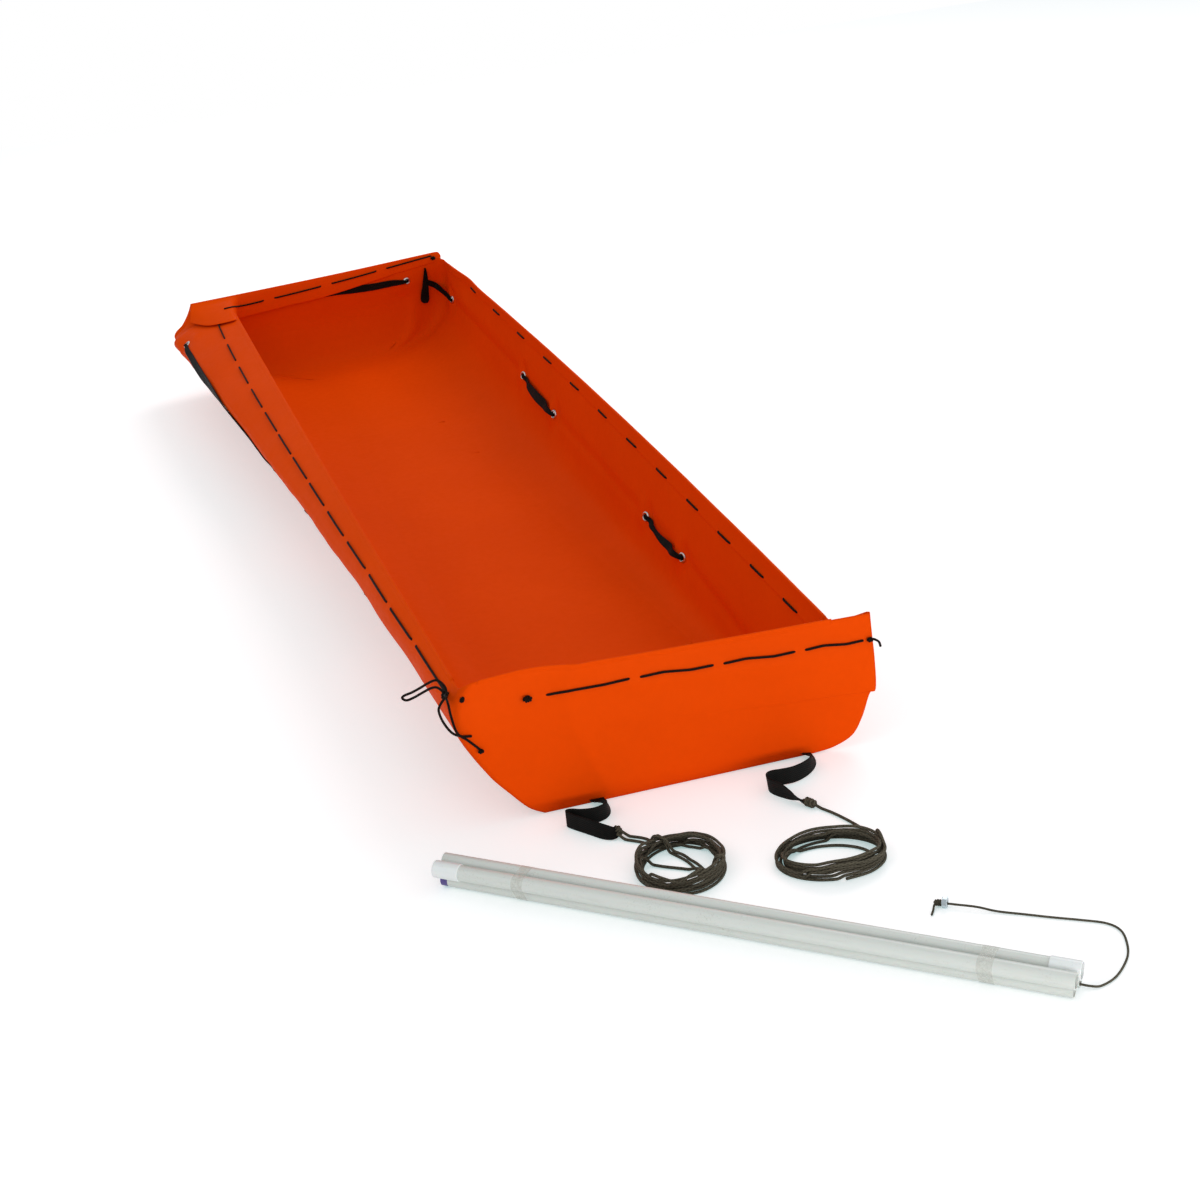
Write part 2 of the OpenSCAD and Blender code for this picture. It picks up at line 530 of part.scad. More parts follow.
module tow_strap_right() {
    z = webbing_thickness / 2;
    w = webbing_width;
    color(webbing_colour)
    translate(tow_move[1])
    band([
        [[196, -985, sheet_thickness + z + 0.6], [-0.1, 0, 1], w, 2 * z],
        [[197, -1015, sheet_thickness + z + 0.5], [0, 0, 1], w, 2 * z],
        [[198, -1044, sheet_thickness + z + 0.8], [0, 0, 1], w, 2 * z],
        [[200, -1060, 4.6], [0, 0, 1], w * 0.85, 2 * z],
        [[202, -1072, 5.6], [0.1, -0.2, 1], w * 0.75, 2 * z],
        [[205, -1083, 7], [0.6, -0.2, 0.8], w * 0.6, 2 * z],
        [[203, -1094, 9], [0.8, -0.5, 0.4], w * 0.65, 2 * z],
        [[192, -1101, 11], [0.3, -0.9, 0.2], w * 0.8, 2 * z],
        [[174, -1100, 12.6], [-0.1, -1, 0.1], w, 2 * z],
        [[154, -1096, 12.6], [-0.1, -1, 0.1], w, 2 * z],
        [[136, -1098, 12.2], [-0.6, -0.8, 0.1], w, 2 * z],
        [[126, -1108, 11.6], [-1, 0, 0.2], w * 0.9, 2 * z],
        [[125, -1124, 11], [-0.9, 0.4, 0.3], w * 0.85, 2 * z],
        [[128, -1142, 9.5], [-0.8, 0.3, 0.5], w * 0.75, 2 * z],
        [[134, -1160, 8], [-0.6, 0.2, 0.7], w * 0.62, 2 * z],
        [[141, -1174, 6.2], [-0.4, 0.1, 0.9], w * 0.42, 3],
        [[147, -1183, 5.6], [-0.2, 0, 1], w * 0.3, 3.6]]);
}

// Coil of one unbroken rope: loops spiral out and in, and climb a layer where the spiral turns
coil_rise = rope_diameter + 0.7;
coil_steps = 24;
function climbed(turn, per, b) = min(1, max(0, (turn - b * per + 0.25) * 2));
function coil_point(turn, layers, per, r0, squash, turn0, pitch) =
    let (layer = min(floor(turn / per), layers - 1))
    let (f = turn / per - layer)
    let (radius = r0 - pitch * per * (layer % 2 == 0 ? f : 1 - f))
    let (height = [for (b = [1 : layers - 1]) climbed(turn, per, b)] * [for (b = [1 : layers - 1]) 1])
    let (angle = turn0 - 360 * turn)
    [radius * cos(angle), squash * radius * sin(angle), rope_diameter / 2 + coil_rise * height];
function spun(p, angle) = [p[0] * cos(angle) - p[1] * sin(angle), p[0] * sin(angle) + p[1] * cos(angle), p[2]];
function coil_path(turns, per, r0, squash, turn0, pitch, spin) =
    [for (i = [0 : turns * coil_steps]) spun(coil_point(i / coil_steps, 2, per, r0, squash, turn0, pitch), spin)];
function straight_ends(p, d) =
    concat([p[0] - unit(p[1] - p[0]) * d], p, [p[len(p) - 1] + unit(p[len(p) - 1] - p[len(p) - 2]) * d]);
function least_gap(p) =
    min([for (i = [0 : 3 : len(p) - 1]) for (j = [i + 14 : 1 : len(p) - 1]) norm(p[i] - p[j])]) - rope_diameter;
left_place = [-56, -1253, 0];
right_place = [125, -1309, 0];
left_coil = straight_ends(coil_path(8.75, 4.5, 57, 1.08, 62, rope_diameter + 0.9, 0), rope_diameter);
right_coil = straight_ends(coil_path(8.28, 4.14, 68, 0.82, 10, rope_diameter + 1.8, -15.6), rope_diameter);
echo(left_coil_gap = least_gap(left_coil), right_coil_gap = least_gap(right_coil));

// Free lengths of the tow ropes, ending against the first point of each coil
module tow_rope_left() {
    r = rope_diameter / 2;
    top = r + 2 * coil_rise;
    lead = left_place + left_coil[0];
    back = unit(left_coil[0] - left_coil[1]);
    a = concat(smooth([[-99, -1145, 8], [-88, -1153, r + 2], [-72, -1166, r + 0.2],
        [-54, -1180, r], lead + back * 14], 3), [lead]);
    // The second strand lies across the top of the coil to its loose tip
    b = smooth([[-104, -1148, 6.4], [-96, -1158, r + 1], [-84, -1171, r], [-76, -1179, r + 3],
        [-69, -1187, top - 1], [-62, -1196, top], [-54, -1211, top], [-46, -1227, top - 2], [-40, -1246, top - 3],
        [-36, -1262, top - 2], [-31, -1275, top], [-21, -1284, top], [-9, -1288, top]], 3);
    translate(tow_move[0])
    color(rope_colour) {
        round_tube(a, rope_diameter, 8);
        round_tube(b, rope_diameter, 8);
    }
}
module tow_rope_right() {
    r = rope_diameter / 2;
    lead = right_place + right_coil[0];
    back = unit(right_coil[0] - right_coil[1]);
    a = concat(smooth([[155, -1191, r + 2.6], [163, -1204, r + 0.6], [172, -1222, r], [180, -1243, r],
        [186, -1262, r], [190, -1284, r], lead + back * 12], 3), [lead]);
    translate(tow_move[1])
    color(rope_colour) round_tube(a, rope_diameter, 8);
}
module tow_knot_left() {
    translate(tow_move[0])
    color(rope_colour) knot([-101, -1143, 8.6], 135, 35, rope_diameter);
}
module tow_knot_right() {
    translate(tow_move[1])
    color(rope_colour) knot([151, -1187, 5.8], -60, 90, rope_diameter * 0.95);
}

module coil_left() {
    translate(left_place + tow_move[0])
    color(rope_colour) round_tube(left_coil, rope_diameter, 6);
}
module coil_right() {
    translate(right_place + tow_move[1])
    color(rope_colour) round_tube(right_coil, rope_diameter, 6);
}

// The tube bundle has its own axes: x along the tubes, y away from the camera side
tube_r = tube_diameter / 2;
coupler_r = tube_r + 1.3;
stop_thickness = 1.2;
spacing = 21.3 + tube_diameter - 20;
lean = 118;
tape_thickness = 0.35;
low_place = [0, tube_r + tape_thickness];
cord_place = [spacing, tube_r + tape_thickness];
front_place = low_place + spacing * [cos(lean), sin(lean)];
back_place = front_place + [spacing, 0];
module bundle() {
    translate([-336, -1156 - 1056 * (sy - 1), 0])
    rotate([0, 0, -42.5])
    children();
}
module tube(place, start, end, radius, bore) {
    translate([start, place[0], place[1]])
    rotate([0, 90, 0])
    difference() {
        cylinder(h = end - start, r = radius, $fn = 64);
        translate([0, 0, -1])
        cylinder(h = end - start + 2, r = bore, $fn = 64);
    }
}
module tube_low() {
    color(tube_colour) bundle() tube(low_place, 6, 6 + tube_length, tube_r, tube_r - tube_wall);
}
module tube_front() {
    color(tube_colour) bundle() tube(front_place, 10, 10 + tube_length, tube_r, tube_r - tube_wall);
}
module tube_back() {
    color(tube_colour) bundle() tube(back_place, -6, -6 + tube_length, tube_r, tube_r - tube_wall);
}
module tube_cord() {
    color(tube_colour) bundle() tube(cord_place, 8, 8 + tube_length, tube_r, tube_r - tube_wall);
}
// Coupler seen from the tube's end face at 0: a grip over the tube below it, a stop ring and an open socket
module coupler(place, end, way) {
    grip = coupler_length / 2;
    translate([end, place[0], place[1]])
    rotate([0, 90 * way, 0])
    rotate_extrude($fn = 64)
    polygon([[tube_r, -grip], [coupler_r - 0.3, -grip], [coupler_r, 0.5 - grip], [coupler_r, grip - 0.5],
             [coupler_r - 0.3, grip], [tube_r, grip], [tube_r, stop_thickness],
             [tube_r - tube_wall, stop_thickness], [tube_r - tube_wall, 0], [tube_r, 0]]);
}
module coupler_front() {
    color(tube_colour) bundle() coupler(front_place, 10, -1);
}
module coupler_back() {
    color(tube_colour) bundle() coupler(back_place, tube_length - 6, 1);
}
module end_plug() {
    color(plug_colour)
    bundle()
    translate([-4, low_place[0], low_place[1]])
    rotate([0, 90, 0])
    union() {
        cylinder(h = 10, r = tube_r - 0.2, $fn = 48);
        translate([0, 0, 9])
        cylinder(h = 13, r = tube_r - tube_wall, $fn = 48);
    }
}

// Tape wound round the four tubes: straight between them and round over each one
function tape_outline(r) = concat(
    [for (q = [-90 - (lean - 90) / 2 : 12 : -90]) low_place + r * [cos(q), sin(q)]],
    [for (q = [-90 : 15 : 30]) cord_place + r * [cos(q), sin(q)]],
    [for (q = [30 : 15 : 90]) back_place + r * [cos(q), sin(q)]],
    [for (q = [90 : 15 : 210]) front_place + r * [cos(q), sin(q)]],
    [for (q = [210 : 11 : 243]) low_place + r * [cos(q), sin(q)]]);
module tape(start, width) {
    translate([start, 0, 0])
    rotate([90, 0, 90])
    linear_extrude(height = width)
    difference() {
        polygon(tape_outline(tube_r + tape_thickness));
        polygon(tape_outline(tube_r - 0.15));
    }
}
module tape_left() {
    color(tape_colour) bundle() tape(104, 15);
}
module tape_right() {
    color(tape_colour) bundle() tape(tube_length - 100, 18);
}

// Thin cord out of the far tube, over the ground, through the nut to its knot
thread_r = thread_diameter / 2;
thread_shift = tube_length - 790;
nut_r = nut_across_flats / 2;
nut_bore_r = nut_across_flats * 0.26;
nut_height = 6.5;
thread_turn = 5;
thread_along = [cos(thread_turn), sin(thread_turn), 0];
nut_place = [612 + thread_shift, 131, 0];
// The cord lies in the bottom of the nut's bore, and its knot stops the nut
knot_cord = 1.15 * thread_diameter;
thread_lift = max(nut_r - nut_bore_r + thread_r + 0.3, 1.45 * knot_cord + 0.1);
knot_length = 2.7 * knot_cord;
knot_place = nut_place - thread_along * (nut_height / 2 + knot_length / 2 + 0.3) + [0, 0, thread_lift];
module thread_cord() {
    exit = [8 + tube_length, cord_place[0], cord_place[1] - tube_r + tube_wall + thread_r];
    over_ground = [[820, 28], [832, 51], [836, 87], [831, 114], [819, 139], [800, 149], [770, 147], [738, 143], [706, 140]];
    path = smooth(concat(
        [exit + [-40, 0, 0.1], exit + [-4, 0, 0.1], exit + [10, 1, -1]],
        [for (p = over_ground) [p[0] + thread_shift, p[1], thread_r + 0.1]],
        [knot_place + thread_along * 70 + [0, 0, thread_r + 0.5 - thread_lift], knot_place + thread_along * 46,
         knot_place + thread_along * 20, knot_place]), 4);
    color(rope_colour) bundle() round_tube(path, thread_diameter, 8);
}
module thread_nut() {
    color(metal_colour)
    bundle()
    translate(nut_place + [0, 0, nut_r])
    rotate([0, 0, thread_turn])
    rotate([0, 90, 0])
    difference() {
        rotate([0, 0, 30])
        cylinder(h = nut_height, r = nut_r / cos(30), center = true, $fn = 6);
        cylinder(h = nut_height + 2, r = nut_bore_r, center = true, $fn = 32);
    }
}
module thread_knot() {
    tail = knot_place - thread_along * 3;
    color(rope_colour)
    bundle() {
        knot(knot_place, thread_turn, 90, knot_cord);
        round_tube(smooth([tail + [0, 0, -0.5], tail + [-1, -5, -2], [tail[0], tail[1] - 12, thread_r + 0.1],
            [tail[0] + 1, tail[1] - 22, thread_r + 0.1]], 3), thread_diameter, 8);
    }
}

sheet();
hem_front();
hem_right();
hem_head();
hem_left();
drawcord_front();
drawcord_right();
drawcord_head();
drawcord_left();
stopper_knots();
lace_bow();
eyelets_right();
eyelets_left();
eyelets_head();
load_strap_right();
load_strap_left();
corner_tail();
tow_strap_left();
tow_strap_right();
tow_rope_left();
tow_rope_right();
tow_knot_left();
tow_knot_right();
coil_left();
coil_right();
tube_low();
tube_front();
tube_back();
tube_cord();
coupler_front();
coupler_back();
end_plug();
tape_left();
tape_right();
thread_cord();
thread_nut();
thread_knot();
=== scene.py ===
# %% [markdown]
# # A laced rescue pulk
# The real sled is one sheet of coated cloth, drawn up into a tub by thin cords laced through its hems.
# Webbing runs through metal eyelets in its walls, two tow ropes lie coiled in front of it, and a taped
# bundle of four white tubes lies beside them. The imported model gives every place and size, so each
# piece made here lands on the solid it stands for.

# %% Load the frame
import math
import bpy
import numpy as np
from mathutils import Matrix, Vector
from mathutils.geometry import delaunay_2d_cdt


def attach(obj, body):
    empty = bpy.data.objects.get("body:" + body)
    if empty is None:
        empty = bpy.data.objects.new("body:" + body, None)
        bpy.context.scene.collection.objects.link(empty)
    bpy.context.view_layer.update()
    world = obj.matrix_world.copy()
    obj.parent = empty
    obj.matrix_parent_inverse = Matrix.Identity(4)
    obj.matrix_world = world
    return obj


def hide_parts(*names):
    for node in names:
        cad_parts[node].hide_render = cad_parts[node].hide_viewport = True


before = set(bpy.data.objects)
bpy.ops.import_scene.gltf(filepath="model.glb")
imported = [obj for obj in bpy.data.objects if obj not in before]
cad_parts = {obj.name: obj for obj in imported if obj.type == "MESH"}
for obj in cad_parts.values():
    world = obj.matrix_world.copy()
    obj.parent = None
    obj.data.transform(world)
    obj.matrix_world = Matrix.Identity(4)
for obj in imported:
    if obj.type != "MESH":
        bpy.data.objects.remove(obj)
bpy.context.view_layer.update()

MM = 0.001

# %% [markdown]
# ## The camera
# A camera is placed by where it stands and the way it looks. Here the way is written as a turn about
# the vertical, a tilt down and a small roll, and the three axes are worked out from those, which is
# easier to adjust by hand than a matrix.

# %% Camera
def place_camera(place, turn, tilt, roll, lens):
    """Angles are in radians and the lens is in millimetres."""
    ahead = Vector((math.sin(turn) * math.cos(tilt), math.cos(turn) * math.cos(tilt), -math.sin(tilt)))
    flat_right = Vector((math.cos(turn), -math.sin(turn), 0))
    upward = flat_right.cross(ahead)
    right = math.cos(roll) * flat_right + math.sin(roll) * upward
    top = math.cos(roll) * upward - math.sin(roll) * flat_right
    data = bpy.data.cameras.new("studio_camera")
    data.lens = lens
    data.sensor_width = 36
    data.clip_end = 60
    camera = bpy.data.objects.new("studio_camera", data)
    bpy.context.scene.collection.objects.link(camera)
    camera.matrix_world = Matrix([[right[i], top[i], -ahead[i], place[i]] for i in range(3)]
                                 + [[0, 0, 0, 1]])
    bpy.context.scene.camera = camera
    return camera

camera = place_camera((-0.6956, -3.3095, 1.3768), 0.271, 0.432, -0.102, 60)
print("camera at", [round(c, 3) for c in camera.location])

# %% [markdown]
# ## Smooth lines, round cords and flat bands
# Everything laced, coiled or woven on this sled follows a line. A Catmull-Rom curve goes through the
# chosen points, so a few of them are enough. A cord is a ring of points carried along that line, and
# each point remembers its turn round the cord and its distance along it. A plait or a weave is drawn
# from those two numbers, and needs no unwrapping.

# %% Curves and spacing
def through(points, at):
    """Catmull-Rom curve through the rows of points, at whole and part numbers of rows."""
    rows = np.array(points, float)
    at = np.asarray(at, float)
    k = np.clip(np.floor(at).astype(int), 0, len(rows) - 2)
    t = at - k
    if rows.ndim == 2:
        t = t[..., None]
    a, b, c, d = (rows[np.clip(k + i, 0, len(rows) - 1)] for i in (-1, 0, 1, 2))
    return (2 * b + (c - a) * t + (2 * a - 5 * b + 4 * c - d) * t ** 2
            + (3 * b - a - 3 * c + d) * t ** 3) / 2

def smooth(points, steps=8):
    return through(points, np.linspace(0, len(points) - 1, (len(points) - 1) * steps + 1))

def unit(v):
    v = np.asarray(v, float)
    return v / np.maximum(np.linalg.norm(v, axis=-1, keepdims=True), 1e-12)

def ease(t):
    """A share from 0 to 1 with a soft start and a soft end."""
    t = np.clip(t, 0, 1)
    return t * t * (3 - 2 * t)

def run_of(path):
    """Distance along a path at each of its points."""
    return np.concatenate([[0], np.cumsum(np.linalg.norm(np.diff(path, axis=0), axis=1))])

def evenly(path, gap):
    path = np.array(path, float)
    run = run_of(path)
    at = np.linspace(0, run[-1], max(2, int(round(run[-1] / gap)) + 1))
    return np.stack([np.interp(at, run, path[:, i]) for i in range(path.shape[1])], axis=1)

# %% Meshes that remember how they lie
made = {}

def mesh_piece(name, points, faces, body="sled", slot="coated_sheet", lay=None):
    mesh = bpy.data.meshes.new(name)
    mesh.from_pydata([tuple(float(c) for c in p) for p in points], [], faces)
    mesh.update()
    mesh.shade_smooth()
    if lay is not None:
        attribute = mesh.attributes.new("lay", "FLOAT_VECTOR", "POINT")
        attribute.data.foreach_set("vector", np.asarray(lay, np.float32).ravel())
    piece = bpy.data.objects.new(name, mesh)
    bpy.context.scene.collection.objects.link(piece)
    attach(piece, body)
    made.setdefault(slot, []).append(piece)
    return piece

def carried_axes(path):
    """Two axes across the path at each point, turned as little as possible from one to the next."""
    ahead = unit(np.gradient(path, axis=0))
    start = np.cross(ahead[0], [0.13, 0.21, 1.0])
    sides = [unit(start)]
    for t in ahead[1:]:
        sides.append(unit(sides[-1] - t * np.dot(sides[-1], t)))
    sides = np.array(sides)
    return ahead, sides, np.cross(ahead, sides)

def skin(rows, wide, first=0, closed=False, strip=False, caps=False, flip=False):
    """Faces over rows of points. closed joins the last row to the first, strip leaves each row open."""
    faces = []
    for k in range(rows if closed else rows - 1):
        here, there = first + k * wide, first + (k + 1) % rows * wide
        for i in range(wide - 1 if strip else wide):
            j = (i + 1) % wide
            if flip:
                faces.append((here + i, there + i, there + j, here + j))
            else:
                faces.append((here + i, here + j, there + j, there + i))
    if caps:
        low = tuple(range(first, first + wide))
        high = tuple(range(first + (rows - 1) * wide, first + rows * wide))
        faces += [low, high[::-1]] if flip else [low[::-1], high]
    return faces

def cord_piece(name, path, diameter, sides=12, body="sled", slot="rope"):
    """Round cord along a path, with rounded ends."""
    path = np.array(path, float)
    ahead, across, other = carried_axes(path)
    radius = diameter / 2
    last = len(path) - 1
    caps = ((0.9, 0.28), (0.6, 0.45))
    before = [(path[0] - ahead[0] * radius * out, 0, radius * wide) for wide, out in caps[::-1]]
    after = [(path[last] + ahead[last] * radius * out, last, radius * wide) for wide, out in caps]
    hoops = before + [(path[i], i, radius) for i in range(len(path))] + after
    run = run_of(np.array([hoop[0] for hoop in hoops]))
    angle = np.linspace(0, 2 * math.pi, sides, endpoint=False)
    points, lay = [], []
    for (centre, i, r), along in zip(hoops, run):
        for q in angle:
            points.append(centre + r * (across[i] * math.cos(q) + other[i] * math.sin(q)))
            lay.append((math.cos(q), math.sin(q), along))
    return mesh_piece(name, points, skin(len(hoops), sides, caps=True), body, slot, lay)

def joined(name, parts):
    """Several pieces of one finish as one object."""
    first = parts[0]
    with bpy.context.temp_override(active_object=first, selected_editable_objects=parts,
                                   selected_objects=parts):
        bpy.ops.object.join()
    first.name = name
    for group in made.values():
        group[:] = [p for p in group if p not in parts[1:]]
    return first

print("helpers ready")

# %% [markdown]
# ## The tow ropes
# Each tow rope leaves a knot on its webbing, runs a short way over the ground and lies in a loose coil.
# A coil drawn as a perfect spiral looks like a spring, so each turn has its own middle and width here,
# and the rope is laid down the way a hand lays it: wherever a turn crosses one that is already there,
# it climbs over it, and the climb is spread along the rope as its stiffness would.

# %% Laying rope on rope
def settle(line, thickness, under=None, passes=16):
    """Heights of a rope laid along a flat line, first point first, over itself and what is under it.

    Strands touch within reach of each other, and a rise is spread about a climb to either side.
    """
    n = len(line)
    gap = np.linalg.norm(line[1] - line[0])
    reach = thickness * 1.04
    climb = 2.2 * thickness
    apart = np.linalg.norm(line[:, None] - line[None], axis=2)
    later = np.arange(n)[:, None] - np.arange(n)[None] > 3 * thickness / gap
    upper, lower = np.nonzero((apart < reach) & later)
    rise = np.sqrt(reach ** 2 - apart[upper, lower] ** 2)
    ground = np.full(n, thickness / 2)
    if under is not None:
        away = np.linalg.norm(line[:, None] - under[None, :, :2], axis=2)
        rest = under[None, :, 2] + np.sqrt(np.maximum(reach ** 2 - away ** 2, 0))
        top = np.where(away < reach, rest, 0)
        ground = np.maximum(ground, top.max(axis=1))
    wide = int(climb / gap)
    bell = np.exp(-np.linspace(-2, 2, 2 * wide + 1) ** 2)
    bell /= bell.sum()
    height = ground.copy()
    for _ in range(passes):
        raw = ground.copy()
        np.maximum.at(raw, upper, height[lower] + rise)
        padded = np.pad(raw, wide // 2, mode="edge")
        widest = np.max([padded[i:i + n] for i in range(2 * (wide // 2) + 1)], axis=0)
        height = np.convolve(np.pad(widest, wide, mode="edge"), bell, mode="valid")
    return height

def loops(table, turns, start, centre, spin=-15.6, per_turn=60):
    """Flat line of a coil, clockwise. A row of the table is one turn: half width, half depth, middle."""
    t = np.linspace(0, turns, int(turns * per_turn) + 1)
    wide, deep, x, y = through(table, t).T
    q = math.radians(start) - 2 * math.pi * t
    x, y = x + wide * np.cos(q), y + deep * np.sin(q)
    c, s = math.cos(math.radians(spin)), math.sin(math.radians(spin))
    return np.stack([centre[0] + c * x - s * y, centre[1] + s * x + c * y], axis=1)

# %% Left tow rope
rope_d, rope_gap = 4.0, 1.2

def route(lead, table, turns, start, centre):
    """A short lead, then the coil, as one even flat line in millimetres."""
    coil = loops(table, turns, start, centre)
    points = np.concatenate([np.array(lead, float), coil[6::5]])
    return evenly(smooth(points, 6), rope_gap)

def laid_rope(name, line, knot_z, under=None):
    """Rope along a flat line, eased down from its knot over the first dozen points.

    Without a rope under it, it is a coil, which is laid from its inner end.
    """
    if under is None:
        height = settle(line[::-1], rope_d)[::-1]
    else:
        height = settle(line, rope_d, under)
    share = ease(np.arange(len(line)) / 12)
    path = np.column_stack([line, knot_z * (1 - share) + height * share]) * MM
    print(name, round(run_of(path)[-1], 3), "m, highest", round(path[:, 2].max(), 4))
    return cord_piece(name, path, rope_d * MM), path

left_lead = [[-99, -1145], [-88, -1154], [-76, -1164], [-69, -1174], [-64, -1190], [-58, -1207],
             [-51, -1222], [-43, -1241], [-39, -1262], [-38, -1281]]
left_loops = [[46, 50, 0, 0], [53, 56, 1, -1], [57, 60, 1, 1], [53, 55, 3, -3], [58, 61, -1, 0],
              [50, 50, 4, -6], [56, 60, 1, 1], [52, 56, -3, 3], [57, 61, 2, -1], [58, 60, 0, 0]]
left_line = route(left_lead, left_loops, 8.1, -62, (-56, -1253))
left_rope, left_path = laid_rope("left_tow_rope", left_line, 8.0)
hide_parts("coil_left")

# %% The second strand of the left rope
second_flat = [[-104, -1148], [-97, -1158], [-87, -1167], [-78, -1176], [-70, -1190], [-61, -1206],
               [-50, -1222], [-38, -1240], [-31, -1262], [-31, -1284], [-42, -1303], [-62, -1313],
               [-82, -1309], [-96, -1291], [-103, -1268], [-104, -1246], [-99, -1230], [-91, -1226],
               [-83, -1233], [-73, -1242], [-61, -1251], [-47, -1262], [-34, -1275], [-22, -1284],
               [-9, -1288]]
second_line = evenly(smooth(second_flat, 6), rope_gap)
second_rope, second_path = laid_rope("left_tow_rope_second", second_line, 6.4, left_path / MM)
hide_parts("tow_rope_left")

# %% Right tow rope
right_lead = [[155, -1191], [163, -1204], [172, -1222], [180, -1243], [186, -1262], [190, -1280],
              [192, -1297]]
right_loops = [[68, 50, 1, 0], [69, 50, -2, -1], [64, 46, -2, 1], [60, 43, 1, -2], [57, 38, -3, -8],
               [60, 45, 3, 0], [64, 46, 3, 1], [66, 48, 0, 1], [69, 50, -1, 0], [66, 49, 1, 0]]
right_line = route(right_lead, right_loops, 8.31, 20, (124, -1318))
right_rope, right_path = laid_rope("right_tow_rope", right_line, 4.6)
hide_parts("coil_right", "tow_rope_right")

# %% [markdown]
# ## Knots
# The ropes end in barrel knots: three turns of rope side by side round a short core. One short helix
# with its ends tucked in gives the turns their real slant, which stacked rings never have.

# %% Knots
def knot_piece(name, at, axis, diameter, turns=3, slot="rope", body="sled"):
    """Turns of cord side by side round a short core. The axis is the way along the knot."""
    axis = unit(axis)
    across = unit(np.cross(axis, [0.1, 0.2, 1.0]))
    other = np.cross(axis, across)
    t = np.linspace(-0.5, 0.5, int(turns * 20) + 1)
    close = np.clip((0.5 - np.abs(t)) * 8, 0.25, 1)
    q = 2 * math.pi * turns * t
    wound = np.array([np.array(at) + axis * (k * turns * 0.92 * diameter)
                      + diameter * (0.35 + 0.62 * c) * (across * math.cos(a) + other * math.sin(a))
                      for k, c, a in zip(t, close, q)])
    turns_part = cord_piece(name, wound, diameter, 10, body, slot)
    core = [np.array(at) + axis * k * diameter for k in np.linspace(-turns * 0.58, turns * 0.58, 9)]
    core_part = cord_piece(name + "_core", core, diameter * 1.1, 10, body, slot)
    return joined(name, [turns_part, core_part])

left_knot = knot_piece("left_tow_knot", (-0.101, -1.143, 0.0086), (-0.41, 0.41, 0.82), 0.0038)
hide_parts("tow_knot_left")
right_knot = knot_piece("right_tow_knot", (0.151, -1.188, 0.0066), (0.5, -0.87, 0.0), 0.0044, 4)
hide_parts("tow_knot_right")
print("tow knots tied")

# %% [markdown]
# ## The threading cord
# A thin cord comes out of the lowest far tube, runs over the ground in a hook, and goes through a nut
# to a knot that stops it. The bundle lies across the frame, so its pieces are placed in its own axes.

# %% Bundle axes and the threading cord
bundle_turn, bundle_x, bundle_y = math.radians(-42.5), -336, -1156

def in_bundle(points):
    """World places, in metres, of points given in millimetres in the bundle's own axes."""
    c, s = math.cos(bundle_turn), math.sin(bundle_turn)
    p = np.atleast_2d(np.array(points, float))
    x = bundle_x + c * p[:, 0] - s * p[:, 1]
    y = bundle_y + s * p[:, 0] + c * p[:, 1]
    return np.column_stack([x, y, p[:, 2]]) * MM

tube_r, low_z = 10.0, 10.35
nut_r, nut_bore_r, thread_r = 6.5, 3.38, 1.4
thread_z, thread_lift = thread_r + 0.1, 4.82
along = np.array([math.cos(math.radians(5)), math.sin(math.radians(5)), 0])
nut_middle = np.array([612.0, 131.0, 0])
knot_middle = nut_middle - along * 7.9 + [0, 0, thread_lift]
mouth = np.array([798.0, 21.3, low_z - tube_r + 1.6 + thread_r])
over_ground = [[820, 28], [832, 51], [836, 87], [831, 114], [819, 139], [800, 149], [770, 147],
               [738, 143], [706, 140]]
thread_points = [mouth + [-14, 0, 0.1], mouth + [-4, 0, 0.1], mouth + [10, 1, -1]]
thread_points += [[x, y, thread_z] for x, y in over_ground]
thread_points += [knot_middle + along * 70 + [0, 0, thread_r + 0.5 - thread_lift],
                  knot_middle + along * 46, knot_middle + along * 20, knot_middle]
thread_path = in_bundle(evenly(smooth(thread_points, 8), 2.0))
thread_d = 2 * thread_r * MM
thread = cord_piece("threading_cord", thread_path, thread_d, 10, "tube_bundle", "rope")
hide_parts("thread_cord")
across_nut = in_bundle(knot_middle + along)[0] - in_bundle(knot_middle)[0]
thread_knot = knot_piece("threading_knot", in_bundle(knot_middle)[0], across_nut, 0.003, 3, "rope",
                         "tube_bundle")
tail_start = knot_middle - along * 3
thread_tail = in_bundle(smooth([tail_start + [0, 0, -0.5], tail_start + [-1, -5, -2],
                                [tail_start[0], tail_start[1] - 12, thread_z],
                                [tail_start[0] + 1, tail_start[1] - 22, thread_z]], 8))
tail_piece = cord_piece("threading_tail", thread_tail, thread_d, 10, "tube_bundle", "rope")
thread_knot = joined("threading_knot", [thread_knot, tail_piece])
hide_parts("thread_knot")
print("threading cord", round(run_of(thread_path)[-1], 3), "m outside the tube")

# %% [markdown]
# ## The shape of the tub
# The walls are not flat: each leans and bulges a little differently along its length, because soft
# cloth is only held at the rim, by its cord, and at the floor. Each side is therefore a function that
# gives a point for a place along the side and a level from the floor edge to the rim. Everything that
# lies on a wall, such as a hem, a cord or webbing, asks the same function, so it follows each fold.

